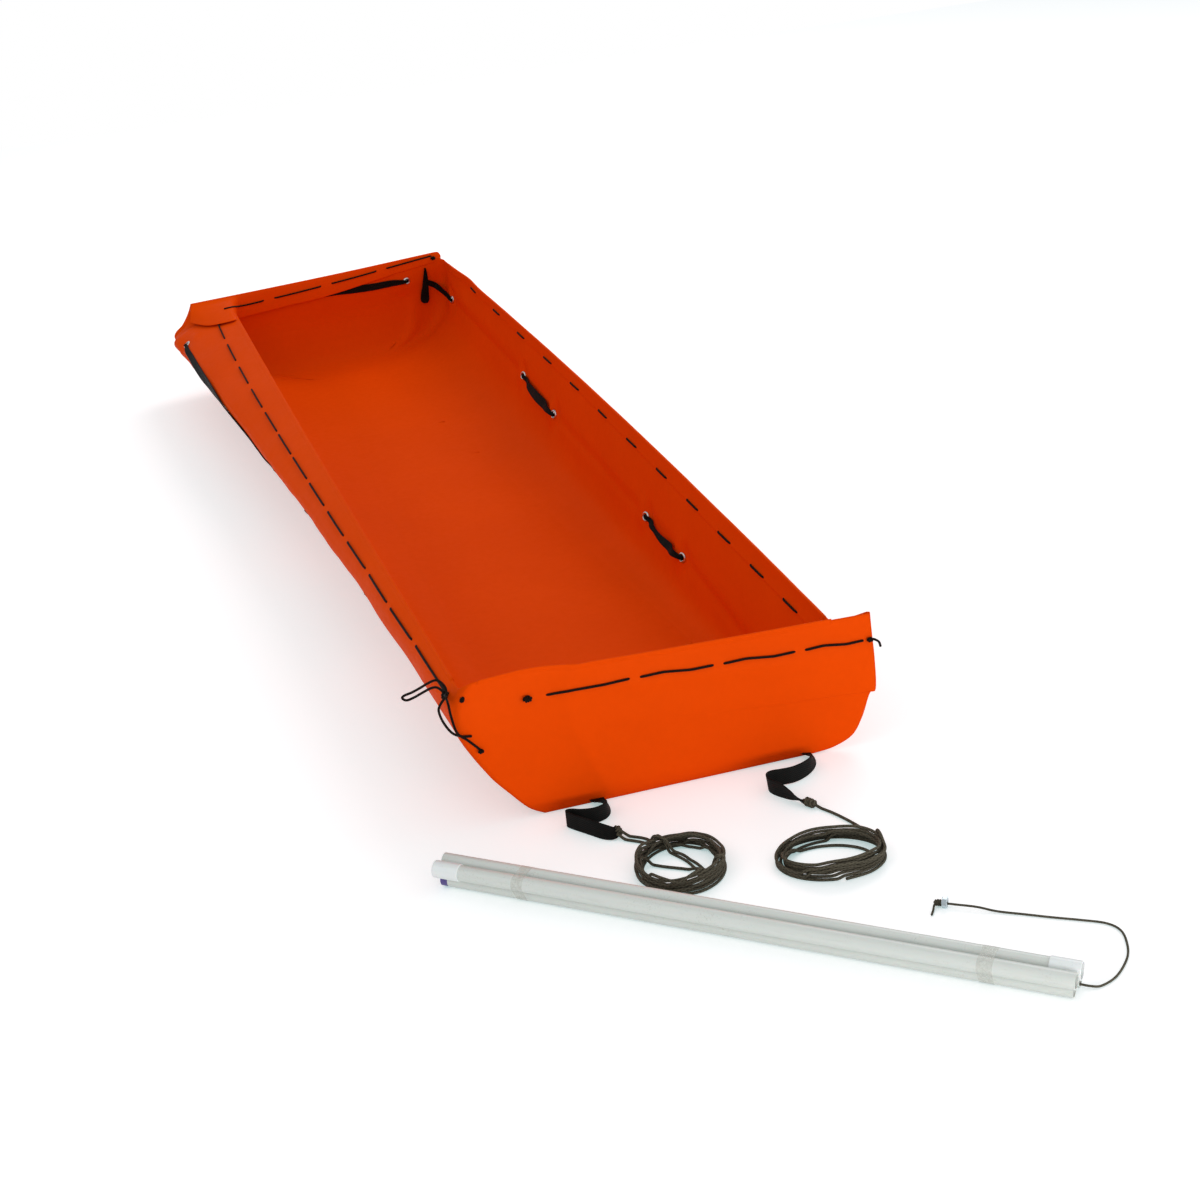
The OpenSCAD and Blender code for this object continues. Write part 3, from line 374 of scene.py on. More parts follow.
# %% Wall sections, floor edge to rim, in millimetres
right_front = [[212, 0], [224, 7], [229, 22], [231, 46], [233, 80], [237, 110], [245, 146], [252, 170],
               [254, 186]]
right_mid = [[134, 0], [174, 6], [205, 22], [222, 48], [232, 82], [239, 112], [247, 150], [254, 180],
             [257, 200]]
right_head = [[52, 0], [122, 7], [186, 24], [226, 52], [244, 85], [249, 112], [251, 145], [251, 170],
              [250, 188]]
left_front = [[165, 0], [190, 14], [214, 40], [240, 76], [262, 115], [275, 145], [280, 170],
              [277, 188], [263, 203]]
left_mid = [[128, 0], [174, 9], [217, 29], [254, 59], [290, 99], [322, 143], [315, 164], [293, 183],
            [264, 197]]
left_head = [[96, 0], [160, 8], [240, 32], [318, 68], [372, 105], [396, 138], [370, 160], [310, 178],
             [258, 190]]
front_left = [[172, 0], [194, 16], [217, 44], [241, 76], [261, 115], [273, 143], [277, 168],
              [270, 192], [250, 213]]
front_right = [[212, 0], [240, 6], [267, 20], [281, 46], [293, 82], [301, 87], [302, 130], [302, 165],
               [302, 197]]
head_left = [[96, 0], [165, 8], [245, 32], [320, 68], [368, 105], [387, 138], [367, 160], [352, 183],
             [342, 204]]
head_z = [0, 5, 20, 46, 82, 116, 148, 178, 207]
front_y = [-1050, -1055, -1058, -1060, -1062, -1063, -1061, -1056, -1052]
head_y = [1012, 1064, 1092, 1106, 1113, 1116, 1115, 1112, 1110]
left_head_y = [975, 995, 1005, 1010, 1010, 1008, 1015, 1030, 1040]
front_skew, head_skew, head_corner, front_gap = -0.045, 0.12, 24, 15

eyelets = [[1, 0.255, 3.85], [1, 0.338, 4.0], [1, 0.592, 4.3], [1, 0.695, 4.72], [1, 0.982, 4.75],
           [3, 0.034, 5.6], [3, 0.43, 4.6], [3, 0.53, 4.45], [3, 0.72, 4.2], [3, 0.81, 4.1],
           [2, 0.118, 6.2]]
print(len(eyelets), "eyelets")

# %% Points on the four sides
def straight(table, at):
    """Straight lines between the rows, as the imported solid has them."""
    rows = np.array(table, float)
    at = np.asarray(at, float)
    k = np.clip(np.floor(at).astype(int), 0, len(rows) - 2)
    t = (at - k) if rows.ndim == 1 else (at - k)[..., None]
    return rows[k] * (1 - t) + rows[k + 1] * t

def bend(s0, s1, s2, a):
    """A blend along a side that goes through the sections at its start, middle and end."""
    a = a[..., None]
    return s0 * (1 - a) * (1 - 2 * a) + s1 * 4 * a * (1 - a) + s2 * a * (2 * a - 1)

def front_at(a, v, level):
    l, r = level(front_left, v), level(front_right, v)
    x = -l[..., 0] * (1 - a) + r[..., 0] * a
    arch = v * np.exp(-((a - 0.16) / 0.14) ** 2)
    fold = 0.7 * v * np.exp(-((x + 112) / 40) ** 2)
    y = level(front_y, v) + front_skew * x - fold
    return np.stack([x, y, l[..., 1] * (1 - a) + r[..., 1] * a + arch], -1)

def right_at(a, v, level):
    xz = bend(level(right_front, v), level(right_mid, v), level(right_head, v), a)
    y0 = level(front_y, v) + front_skew * level(right_front, v)[..., 0] + front_gap
    y1 = level(head_y, v) + head_skew * level(right_head, v)[..., 0] - head_corner
    return np.stack([xz[..., 0], y0 * (1 - a) + y1 * a, xz[..., 1]], -1)

def head_at(a, v, level):
    l = level(head_left, v)
    x = (level(right_head, v)[..., 0] - head_corner) * (1 - a) - l[..., 0] * a
    sag = 0.35 * v * np.sin(math.pi * a)
    z = level(head_z, v) * (1 - a * a) + l[..., 1] * a * a - sag
    return np.stack([x, level(head_y, v) + head_skew * x, z], -1)

def left_at(a, v, level):
    xz = bend(level(left_head, v), level(left_mid, v), level(left_front, v), a)
    y0 = level(left_head_y, v)
    y1 = level(front_y, v) - front_skew * level(left_front, v)[..., 0] + front_gap
    return np.stack([-xz[..., 0], y0 * (1 - a) + y1 * a, xz[..., 1]], -1)

sides = [front_at, right_at, head_at, left_at]

def side_pair(a, v):
    return np.broadcast_arrays(np.asarray(a, float), np.asarray(v, float))

def plain_at(side, a, v):
    return sides[side](*side_pair(a, v), straight)

def facing_of(place, a, v, step):
    """Outward direction of a surface, from its points close by."""
    run = place(a + step, v) - place(a - step, v)
    rise = place(a, np.minimum(v + 0.1, 8)) - place(a, np.minimum(v, 7.9) - 0.1)
    return unit(np.cross(run, rise))

def eyelet_frame(side, a, v):
    """Middle and outward direction of an eyelet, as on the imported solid."""
    return side, plain_at(side, a, v), facing_of(lambda a, v: plain_at(side, a, v), a, v, 0.004)

def pulled(side, middle, out):
    """The right wall's webbing pulls its eyelets round a little, towards the front."""
    lean = 0.36 if side == 1 else 0
    return side, middle, unit(out + lean * unit(np.cross([0.0, 0.0, 1.0], out)))

eyelet_frames = [pulled(*eyelet_frame(*place)) for place in eyelets]
print("first eyelet at", np.round(eyelet_frames[0][1]))

# %% [markdown]
# The cloth is never quite smooth. Slow waves a hand's width across show in the light, and each is
# given as a sum of a few sines at odd angles, so it never repeats. Round each eyelet the cloth is
# pressed flat between the two metal rings, so the waves fade out there.

# %% Waves and creases
def waves(p, size, seed):
    """Soft waves, mostly between -1 and 1 and about size millimetres across."""
    total = 0
    for k in range(5):
        q = seed * 1.7 + k * 2.4
        way = np.array([math.cos(q), math.sin(q) * 0.8, math.sin(q * 1.9) * 1.3])
        total = total + np.sin((p @ way) * (2 * math.pi / size) * (0.7 + 0.17 * k) + seed * (3 + k))
    return total / 3.2

def bump(x, middle, width):
    return np.exp(-((x - middle) / width) ** 2)

webbing_line = ([0.08, 0.235, 0.255, 0.338, 0.592, 0.695, 0.982],
                [2.9, 3.8, 3.85, 4.0, 4.3, 4.72, 4.75])

def crease(side, a, v, p):
    """How far the cloth stands off its plain form, outwards, in millimetres."""
    free = np.clip(v / 2.5, 0, 1) * np.clip((8.4 - v) / 2.0, 0.25, 1)
    out = free * (1.5 * waves(p, 260, 1 + side) + 0.5 * waves(p, 95, 5 + side))
    if side == 0:
        # a long fold under the front's stitches, and an upright one below the first of them
        ends = np.clip((a - 0.22) * 5, 0, 1) * np.clip((1 - a) * 4, 0, 1)
        out = out + 4.0 * bump(v, 6.9 - 0.5 * a, 0.5) * ends
        out = out + 3.0 * bump(a, 0.262, 0.024) * np.clip(v / 3, 0, 1)
    if side == 1:
        # the wall is drawn out along its webbing, in just above it, and creased near the head
        tied = np.interp(a, *webbing_line)
        out = out + 2.0 * bump(v, tied, 0.30) - 1.2 * bump(v, tied + 0.75, 0.5)
        out = out + 4.5 * bump(a, 0.91, 0.035) * np.clip(v - 5.5, 0, 1)
    if side == 2:
        # the head panel bulges, with one upright crease near its right corner
        ends = np.clip(v - 1, 0, 1) * np.clip((5.6 - v) / 1.5, 0, 1)
        out = out + 8 * bump(v, 4.2, 1.5) - 6 * bump(a, 0.09, 0.03) * ends
    if side == 3:
        # a slight swell along the webbing next to the head
        out = out + 1.4 * bump(v, 5.1, 0.5) * bump(a, 0.2, 0.22)
    return out

ring_flat, ring_fade = 13, 30

def side_at(side, a, v):
    """Points on the outer face of the cloth, in millimetres.

    It is flat within ring_flat of an eyelet's middle, and free again ring_fade further out.
    """
    a, v = side_pair(a, v)
    soft = sides[side](a, v, through)
    out = facing_of(lambda a, v: sides[side](a, v, through), a, v, 0.004)
    soft = soft + out * crease(side, a, v, soft)[..., None]
    for s, middle, facing in eyelet_frames:
        if s == side:
            away = soft - middle
            near = ease(1 - (np.linalg.norm(away, axis=-1) - ring_flat) / ring_fade)
            soft = soft - facing * (np.sum(away * facing, axis=-1) * near)[..., None]
    return soft

def side_normal(side, a, v):
    return facing_of(lambda a, v: side_at(side, a, v), *side_pair(a, v), 0.003)

def off_at(side, a, v, out):
    """A point held off the cloth's outer face; a negative distance is inside the tub."""
    a, v = side_pair(a, v)
    return side_at(side, a, v) + side_normal(side, a, v) * np.broadcast_to(out, a.shape)[..., None]

print("rim at the middle of the right side", np.round(side_at(1, 0.5, 8.0)))

# %% [markdown]
# ## The coated sheet
# The sheet is one grid that runs right round the tub, with a tight turn at the free ear of the front
# panel and another at the head. Extra grid lines pass each eyelet, so that a neat hole can be opened
# there. The floor is filled with an even triangle net inside the grid's lowest ring, and the cloth gets
# its thickness afterwards, inwards, so its outer face stays on the solid's.

# %% Grid round the tub
sheet_t, hem_t = 1.6, 1.4
rim_level, level_size = 7.97, 34
side_sizes = (560, 2100, 560, 2040)
side_counts = (64, 150, 52, 140)
beside_eyelet = (-9, -6.5, -4.5, -2, 2, 4.5, 6.5, 9)

def stations(side):
    """Places of the grid lines along a side, with extra ones beside each eyelet."""
    lines = list(np.linspace(0, 1, side_counts[side] + 1))
    for s, a, v in eyelets:
        if s == side:
            lines += [a + k / side_sizes[side] for k in beside_eyelet]
    return np.unique(np.clip(np.round(lines, 5), 0, 1))

levels = list(np.linspace(0, rim_level, 49))
for s, a, v in eyelets:
    levels += [v + k / level_size for k in beside_eyelet]
levels = np.unique(np.clip(np.round(levels, 3), 0, rim_level))
levels = levels[np.concatenate([[True], np.diff(levels) > 0.03])]

def turn_back(a, b, dx, dy, count=5):
    """The tight turn of a free ear: round the tip, then back behind the panel."""
    steps = ((dx, dy * 0.35, 0), (dx, dy * 0.75, 0), (-dx, dy, 0))
    tip = [a + np.array(step) for step in steps]
    return tip + [tip[-1] + (b - tip[-1]) * k / (count + 1) for k in range(1, count + 1)]

head_dip, tuck_dip = 13, 11
corner_out = np.array([9, 8, 0])
rings = []
for v in levels:
    front, right, head, left = (side_at(side, stations(side), v) for side in range(4))
    head[:, 2] -= head_dip * (v / 8) ** 6 * np.clip(1 - np.arange(len(head)) / 3, 0, 1) ** 2
    corner = [(right[-1] * (1 - k) + head[0] * k) + corner_out * 4 * k * (1 - k) * 0.7
              for k in (0.25, 0.5, 0.75)]
    ear = turn_back(front[-1], right[0], 1.5, 7)
    tuck = turn_back(head[-1], left[0], -1.5, -7.5)
    lower = tuck_dip * (v / 8) ** 3
    tuck = [p - np.array([0, 0, lower]) * min(1, (k + 1) / 3) for k, p in enumerate(tuck)]
    rings.append(np.concatenate([front, ear, right, corner, head, tuck, left]))
rings = np.array(rings)
rows, around = rings.shape[:2]
print("grid", rows, "by", around)

# %% Holes, floor and thickness
hole_r, net_gap, floor_rise = 5.4, 24, 60

def sheet_mesh():
    """Points and faces of the sheet's outer face: the grid with its holes open, and the floor net."""
    grid = rings.reshape(-1, 3)
    middles = np.array([middle for s, middle, out in eyelet_frames])

    def clear_of_holes(quad):
        return np.linalg.norm(grid[list(quad)].mean(axis=0) - middles, axis=1).min() > hole_r

    faces = [quad for quad in skin(rows, around) if clear_of_holes(quad)]
    edge = [Vector((p[0], p[1])) for p in rings[0]]
    edge_lines = [(i, (i + 1) % around) for i in range(around)]
    inner = [Vector((x + 7 * (int(y / net_gap) % 2), y))
             for y in range(-1020, 1100, net_gap) for x in range(-160, 200, net_gap)]
    net = delaunay_2d_cdt(edge + inner, edge_lines, [], 1, 0.01)
    index, extra = {}, []
    for n, (co, origin) in enumerate(zip(net[0], net[3])):
        same = [o for o in origin if o < around]
        if same:
            index[n] = same[0]
        else:
            index[n] = len(grid) + len(extra)
            extra.append((co[0], co[1]))
    extra = np.array(extra)
    edge_gap = np.min(np.linalg.norm(extra[:, None] - rings[0][None, :, :2], axis=2), axis=1)
    spot = np.column_stack([extra, np.zeros(len(extra))])
    swell = 1.7 + 0.9 * waves(spot, 330, 9) + 0.35 * waves(spot, 120, 11)
    lift = np.clip(edge_gap / floor_rise, 0, 1) * swell
    for face in net[2]:
        faces.append(tuple(index[n] for n in face)[::-1])
    return np.concatenate([grid, np.column_stack([extra, lift])]), faces

sheet_points, sheet_faces = sheet_mesh()
sheet_lay = np.zeros((len(sheet_points), 3))
sheet_lay[:rows * around, 0] = np.tile(run_of(rings[rows // 2]), rows)
sheet_lay[:rows * around, 1] = np.repeat(run_of(rings[:, around // 2]), around)
sheet_lay[rows * around:, :2] = sheet_points[rows * around:, :2]
sheet = mesh_piece("coated_sheet", sheet_points * MM, sheet_faces, "sled", "coated_sheet",
                   sheet_lay * MM)

def give_thickness(piece, thickness):
    """Solid cloth from its outer face, made real so that nothing depends on a modifier later."""
    solid = piece.modifiers.new("thickness", "SOLIDIFY")
    solid.thickness = thickness
    solid.offset = -1
    with bpy.context.temp_override(object=piece, active_object=piece):
        bpy.ops.object.modifier_apply(modifier="thickness")

give_thickness(sheet, sheet_t * MM)
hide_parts("sheet")

# %% [markdown]
# ## Hems
# The edge of the cloth is turned in all round and stitched down, so the rim is a soft double fold, and
# its lower edge shows as a line inside the tub. Each hem is swept along its side as one section: over
# the rim, down the inside and back under its own edge.

# %% Levels of the stitch lines and the hems' lower edges
deep = sheet_t + hem_t

def front_v(a):
    return 6.86 - 0.3 * (max(0, 0.42 - a) / 0.2) ** 2

def right_v(a):
    return 6.34 + 1.3 * a - 0.45 * a * a

def head_v(a):
    return 7.75 - 1.0 * a

def left_v(a):
    return 7.2 - 1.6 * a * (1 - a)

def hem_low(side, a):
    """The level of a hem's lower edge inside the tub."""
    if side == 2:
        return np.interp(a, [0, 0.16, 0.3, 0.47, 0.6, 0.8, 1], [7.2, 7.0, 6.74, 6.35, 6.2, 5.9, 5.6])
    if side == 1:
        return right_v(a) - 0.12
    first, last = ((6.1, 6.4) if side == 0 else (6.5, 6.3))
    return first + (last - first) * a + 0.04 * np.sin(a * 37 + side)

# %% The head hem, folded over the left wall like a lid
lid_edge = [[-230, 1070, 152], [-252, 930, 191.5], [-290, 928, 189], [-325, 965, 179.5],
            [-353, 1028, 175]]

def head_flap(a, v, out):
    """A point on the head's hem, given as on the plain wall; towards the left it folds forward."""
    a, v = side_pair(a, v)
    share = (rim_level - v) / (rim_level - hem_low(2, a))
    stand = 3.2 * np.clip((a - 0.1) / 0.2, 0, 1) * np.clip(rim_level - v, 0, 9)
    plain = off_at(2, a, v, np.where(out < -1, out - stand, out))
    edge = through(lid_edge, np.clip((a - 0.8) * 20, 0, 4))
    rim = off_at(2, a, np.full(a.shape, rim_level), -deep)
    arch = 1.5 * np.sin(math.pi * np.clip(share, 0, 1))
    upward = np.array([0, -0.25, 0.97])
    over = rim + (edge - rim) * share[..., None] + upward * (-deep - out + arch)[..., None]
    t = ease(np.clip((a - 0.77) / 0.11, 0, 1) * np.clip(share * 5, 0, 1))[..., None]
    return plain * (1 - t) + over * t

def lying(side, a, v, out):
    """A point held off a side's hem; only the head's hem leaves the plain wall."""
    return head_flap(a, v, out) if side == 2 else off_at(side, a, v, out)

# %% Hem strips
round_end = 14 / 570

def hem_piece(name, side, a0, a1, count=120):
    """One hem from place a0 to a1. The head's hem starts with a rounded end."""
    a = np.linspace(a0, a1, count + 1)
    low = hem_low(side, a)
    drop = np.zeros(a.shape)
    if side == 2:
        end = np.sqrt(1 - (1 - np.clip((a - a0) / round_end, 0, 1)) ** 2)
        low = 7.5 + (low - 7.5) * end
        drop = 0.42 * (1 - end)
    top = rim_level - drop
    over_rim = ((7.72, 0.05), (7.86, 0.45), (7.98, 0.55), (8.05, 0.1), (8.08, -deep / 2),
                (8.05, -deep + 0.1), (rim_level, -deep - 0.3))
    under_edge = ((low + 0.02, -deep), (low, -deep + 0.4), (low + 0.01, -deep + hem_t),
                  ((low + 7.6) / 2, -sheet_t))
    section = [off_at(side, a, v - drop, out) for v, out in over_rim]
    section += [lying(side, a, top + (low - top) * share, -deep - 0.25 * math.sin(math.pi * share))
                for share in (0.2, 0.4, 0.6, 0.8, 0.93)]
    section += [lying(side, a, v, out) for v, out in under_edge]
    section = np.array(section + [off_at(side, a, 7.6 - drop, -sheet_t + 0.4)])
    m = len(section)
    points = section.transpose(1, 0, 2).reshape(-1, 3)
    lay = np.stack([np.repeat(a * side_sizes[side], m), np.tile(np.arange(m) * 6.0, count + 1),
                    np.zeros((count + 1) * m)], 1)
    faces = skin(count + 1, m, caps=True)
    piece = mesh_piece("turned_" + name, points * MM, faces, "sled", "coated_sheet", lay * MM)
    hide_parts(name)
    return piece

hems = [hem_piece("hem_front", 0, 0.02, 0.9), hem_piece("hem_right", 1, 0.01, 0.985, 220),
        hem_piece("hem_head", 2, -0.03, 1.0, 150), hem_piece("hem_left", 3, 0.025, 0.985, 220)]
print("hems turned in")

# %% [markdown]
# ## Eyelets of the right wall
# These five are looked at from inside the tub, so each gets its rolled edge: a rounded ring on either
# face of the cloth, joined by a barrel through the hole, in the plane that the cloth lies in there.

# %% Eyelet rings
ring_section = [(4.8, 0.9), (5.3, 1.9), (6.3, 2.6), (7.5, 2.5), (8.5, 1.7), (9.0, 0.5), (9.0, -0.1),
                (5.7, -0.1)]

def eyelet_rings(name, frames, spokes=32):
    """Rings of one section on both faces of the cloth, about each frame's outward direction."""
    section = [(r, -sheet_t - h) for r, h in ring_section] + ring_section[::-1]
    points, faces = [], []
    for s, middle, out in frames:
        across = unit(np.cross(out, [0, 0, 1.0]))
        other = np.cross(out, across)
        faces += skin(spokes, len(section), len(points), closed=True, flip=True)
        for k in range(spokes):
            q = 2 * math.pi * k / spokes
            spoke = across * math.cos(q) + other * math.sin(q)
            points += [middle + spoke * r + out * h for r, h in section]
    return mesh_piece(name, np.array(points) * MM, faces, "sled", "eyelet_metal")

right_rings = eyelet_rings("rolled_eyelets_right", [f for f in eyelet_frames if f[0] == 1])
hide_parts("eyelets_right")
print("eyelets rolled")

# %% [markdown]
# ## Drawcords
# A running stitch shows as dashes: the cord lies on the face for a hand's width, dives through a small
# hole and travels hidden behind the hem to the next one. It is one unbroken cord here too. Its route is
# written as place along the side, level, and distance off the cloth, and is rounded where it dives.

# %% Dashes of the stitch
draw_d = 3.4
cord_out = draw_d / 2 - 0.1
cord_in = -(deep + draw_d / 2 - 0.1)
front_dashes = [[0.214, 0.399], [0.432, 0.601], [0.633, 0.802], [0.834, 0.975]]
head_dashes = [[0.03, 0.2], [0.248, 0.429], [0.479, 0.66], [0.709, 0.886]]

def right_dash(i):
    return (1922 - 203 * i + 3.7 * i * i) / 2160

def left_dash(i):
    return (90 + 166 * i - 1.1 * i * i) / 2050 + 0.024 * min(1, max(0, (6.5 - i) / 3))

def mix(a, b, t):
    return a + (b - a) * t

def laced(name, side, rows, packed):
    """A laced cord from rows of place along, level and distance off the cloth."""
    rows = np.array(rows, float)
    fine = straight(rows, np.linspace(0, len(rows) - 1, (len(rows) - 1) * 8 + 1))
    path = evenly(lying(side, fine[:, 0], fine[:, 1], fine[:, 2]), 2.0)
    for _ in range(3):
        path[1:-1] = (path[:-2] + path[1:-1] * 2 + path[2:]) / 4
    piece = cord_piece(name, path * MM, draw_d * MM, 10, "sled", "drawcord")
    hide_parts(packed)
    print(packed, round(run_of(path * MM)[-1], 2), "m with its hidden stretches")

rows_front = [[0.168, front_v(0.19), cord_out], [0.176, front_v(0.19), cord_in],
              [0.205, front_v(0.2), cord_in]]
for i, (a, b) in enumerate(front_dashes):
    rows_front += [[a, front_v(a), cord_out],
                   [mix(a, b, 0.3), front_v(mix(a, b, 0.3)) + 0.06, cord_out + 0.3],
                   [mix(a, b, 0.7), front_v(mix(a, b, 0.7)) - 0.04, cord_out + 0.3],
                   [b, front_v(b), cord_out]]
    rows_front += [[b + 0.006, front_v(b), cord_in], [b + 0.026, front_v(b), cord_in]] if i < 3 else []
rows_right = [[0.012, right_v(0), cord_in], [0.018, right_v(0), cord_out],
              [right_dash(11) - 0.015, right_v(0.05), cord_out]]
for i in range(11, -1, -1):
    a = right_dash(i)
    b = right_dash(i - 1) - 0.015 if i > 0 else 0.975
    rows_right += [[a - 0.010, right_v(a), cord_in], [a + 0.010, right_v(a), cord_in],
                   [a + 0.014, right_v(a), cord_out],
                   [mix(a, b, 0.5), right_v(mix(a, b, 0.5)), cord_out + 0.4], [b, right_v(b), cord_out]]
rows_head = [[0.012, head_v(0), cord_in]]
for i, (a, b) in enumerate(head_dashes):
    m = mix(a, b, 0.5)
    rows_head += [[a, head_v(a), cord_in], [m, head_v(m), cord_in - 0.3], [b, head_v(b), cord_in]]
    rows_head += [[b + 0.006, head_v(b), cord_out], [b + 0.04, head_v(b), cord_out]] if i < 3 else []
rows_left = [[0.028, left_v(0), cord_out]]
for i in range(13):
    a = left_dash(i)
    b = left_dash(i + 1) - 0.033 if i < 12 else 0.992
    hidden = cord_in if i < 12 else cord_out
    rows_left += [[a - 0.028, left_v(a - 0.028), cord_out], [a, left_v(a), cord_out + 0.4],
                  [a + 0.026, left_v(a + 0.026), cord_out], [a + 0.031, left_v(a + 0.03), hidden],
                  [b, left_v(b), hidden]]
all_rows = (("front", rows_front), ("right", rows_right), ("head", rows_head), ("left", rows_left))
for side, (side_name, rows_of) in enumerate(all_rows):
    laced("laced_drawcord_" + side_name, side, rows_of, "drawcord_" + side_name)

# %% Stopper knots
def at_side(side, a, v, out):
    """One point held off the cloth, in metres."""
    return off_at(side, a, v, out).reshape(3) * MM

stops = [(at_side(0, 0.165, front_v(0.19), draw_d * 1.2), (1, 0, 0.05)),
         (at_side(0, 0.025, 4.2, draw_d * 1.2), (0.94, 0.34, 0)),
         (at_side(0, 0.992, front_v(1), draw_d), (1, 0, 0)),
         (at_side(1, 0.012, right_v(0) + 0.2, -deep - draw_d), (0, 1, 0)),
         (at_side(2, 0.005, 7.55, -deep - draw_d), (1, 0, 0)),
         (at_side(0, 0.008, 7.1, 2.2), (0.5, 0, 1))]
sizes = [3.2, 2.2, 2.4, 3.0, 3.0, 2.2]
tied = [knot_piece("stopper_%d" % n, place, way, size * MM, 3, "drawcord")
        for n, ((place, way), size) in enumerate(zip(stops, sizes))]
tail_steps = np.array([[0, 0, 0], [4, -2, 1], [11, -3, -4], [14, -2, -12]])
front_tail = smooth(stops[2][0] + tail_steps * MM, 8)
tied.append(cord_piece("front_tail", front_tail, draw_d * MM, 10, "sled", "drawcord"))
stoppers = joined("stopper_knots_tied", tied)
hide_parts("stopper_knots")
print("stopper knots", len(stops))

# %% [markdown]
# ## The bow
# At the near left corner the side cord is tied off in a slipped bow: one stiff ear stands out to the
# left, and two strands run down to a lower knot on the front panel. Each strand is a cord of its own.

# %% Bow
bow_at = at_side(3, 0.992, left_v(1) - 0.1, draw_d)
bow_knot = knot_piece("bow_knot", bow_at, (0.5, 0.4, 0.75), draw_d * MM, 3, "drawcord")
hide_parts("lace_bow")
ear_points = [[-282, -1040, 205], [-282, -1038, 215], [-286, -1034, 222], [-292, -1030, 225],
              [-301, -1022, 219], [-310, -1014, 211], [-321, -1006, 203], [-330, -1000, 198],
              [-333, -998, 194], [-328, -999, 190], [-319, -1004, 194], [-309, -1012, 202],
              [-298, -1022, 211], [-291, -1030, 214], [-285, -1037, 209]]

def bow_part(name, points, ends=(), steps=8):
    """A strand of the bow: points in millimetres after the knot, then places on the front panel."""
    path = smooth(np.concatenate([[bow_at], np.array(points) * MM]
                                 + [[at_side(0, *end)] for end in ends]), steps)
    return cord_piece(name, path, draw_d * MM, 12, "sled", "drawcord"), path

ear, ear_path = bow_part("bow_ear", ear_points, steps=6)
strand, strand_path = bow_part("bow_strand",
                               [[-284, -1052, 199], [-283, -1056, 181], [-279, -1061, 159]],
                               [(0.012, 4.9, 2.2), (0.025, 4.3, 2.2)])
tail, tail_path = bow_part("bow_tail", [[-287, -1054, 210], [-295, -1056, 202], [-298, -1056, 193],
                                        [-294, -1057, 176], [-285, -1060, 160]],
                           [(0.005, 5.2, 4.4), (0.024, 5.1, 2.4)])
print("bow ear", round(run_of(ear_path)[-1], 3), "m")

# %% [markdown]
# ## Webbing
# Webbing is flat, and it shows its weave and a thick edge on both sides. Where it goes through an
# eyelet it gathers into folds, so its section narrows and puckers instead of shrinking.

# %% Woven bands
web_w, web_t, bore = 24.0, 1.8, 9.6

def web_piece(name, stations):
    """A band through rows of [x, y, z, normal x, y, z, width, thickness], in millimetres."""
    fine = smooth(stations, 6)
    path = fine[:, :3]
    ahead = unit(np.gradient(path, axis=0))
    normal = unit(fine[:, 3:6] - ahead * np.sum(fine[:, 3:6] * ahead, axis=1, keepdims=True))
    across = np.cross(ahead, normal)
    width, thick = fine[:, 6], fine[:, 7]
    spare = np.clip(1 - width / web_w, 0, 1)
    u = np.array([-1, -0.985, -0.9, -0.7, -0.45, -0.2, 0, 0.2, 0.45, 0.7, 0.9, 0.985, 1])
    edge = np.array([0.0, 0.75, 1.15, 0.98, 1, 1, 1, 1, 1, 0.98, 1.15, 0.75, 0.0])
    shape = list(zip(u, edge)) + [(x, -e) for x, e in zip(u[-2:0:-1], edge[-2:0:-1])]
    run = run_of(path)
    points, lay = [], []
    for i in range(len(path)):
        for x, e in shape:
            pucker = spare[i] * 1.6 * math.sin(x * 3.2 * math.pi + 0.6) * min(1, thick[i] / 3)
            out = e * min(thick[i], 2.0 + spare[i] * 2.6) / 2 + pucker
            points.append(path[i] + across[i] * x * width[i] / 2 + normal[i] * out)
            lay.append((x * web_w / 2, run[i], e))
    faces = skin(len(path), len(shape), caps=True, flip=True)
    return mesh_piece(name, np.array(points) * MM, faces, "sled", "webbing", np.array(lay) * MM)

lie_out = web_t / 2 + 0.2
lie_in = -(sheet_t + web_t / 2 + 0.2)

def row(point, normal, width, thick):
    return [*np.ravel(point), *np.ravel(normal), width, thick]

def flat_row(side, a, v, out, width=web_w):
    return row(off_at(side, a, v, out), side_normal(side, a, v), width, web_t)

def neck(side, a, v):
    """Webbing gathered just outside an eyelet."""
    return row(off_at(side, a, v, lie_out + 1.6), side_normal(side, a, v), bore * 0.8, 3.4)

def side_along(side, a, v):
    return unit(side_at(side, a + 0.004, v) - side_at(side, a - 0.004, v)).reshape(3)

def passing(e, d0, d1):
    """Through an eyelet, from distance d0 to distance d1."""
    n = side_normal(*e).reshape(3)
    way = 1 if d0 > d1 else -1
    t = side_along(*e) * way
    p = side_at(*e).reshape(3)
    return [row(p + n * d0 * 0.9 - t * way * 1.6, n + t * 0.6, bore * 0.66, 4.4),
            row(p + n * d0 * 0.2, t, bore * 0.62, 4.8),
            row(p + n * d1 * 0.6, t, bore * 0.62, 4.8),
            row(p + n * d1 * 0.9 + t * way * 1.6, n + t * 0.6, bore * 0.66, 4.4)]

def inner_bow(e0, e1, lift, widths, turns):
    """A loose length between two eyelets; widths and turns are given at its fifths."""
    out = []
    for i in range(1, 8):
        f = i / 8
        a, v = mix(e0[1], e1[1], f), mix(e0[2], e1[2], f)
        n = side_normal(e0[0], a, v).reshape(3)
        u = np.cross(side_along(e0[0], a, v), n)
        q = math.radians(float(through(turns, f * 5)))
        out.append(row(off_at(e0[0], a, v, lie_in - 1.0 - lift * math.sin(math.pi * f)),
                       n * math.cos(q) + u * math.sin(q), float(through(widths, f * 5)), web_t))
    return out

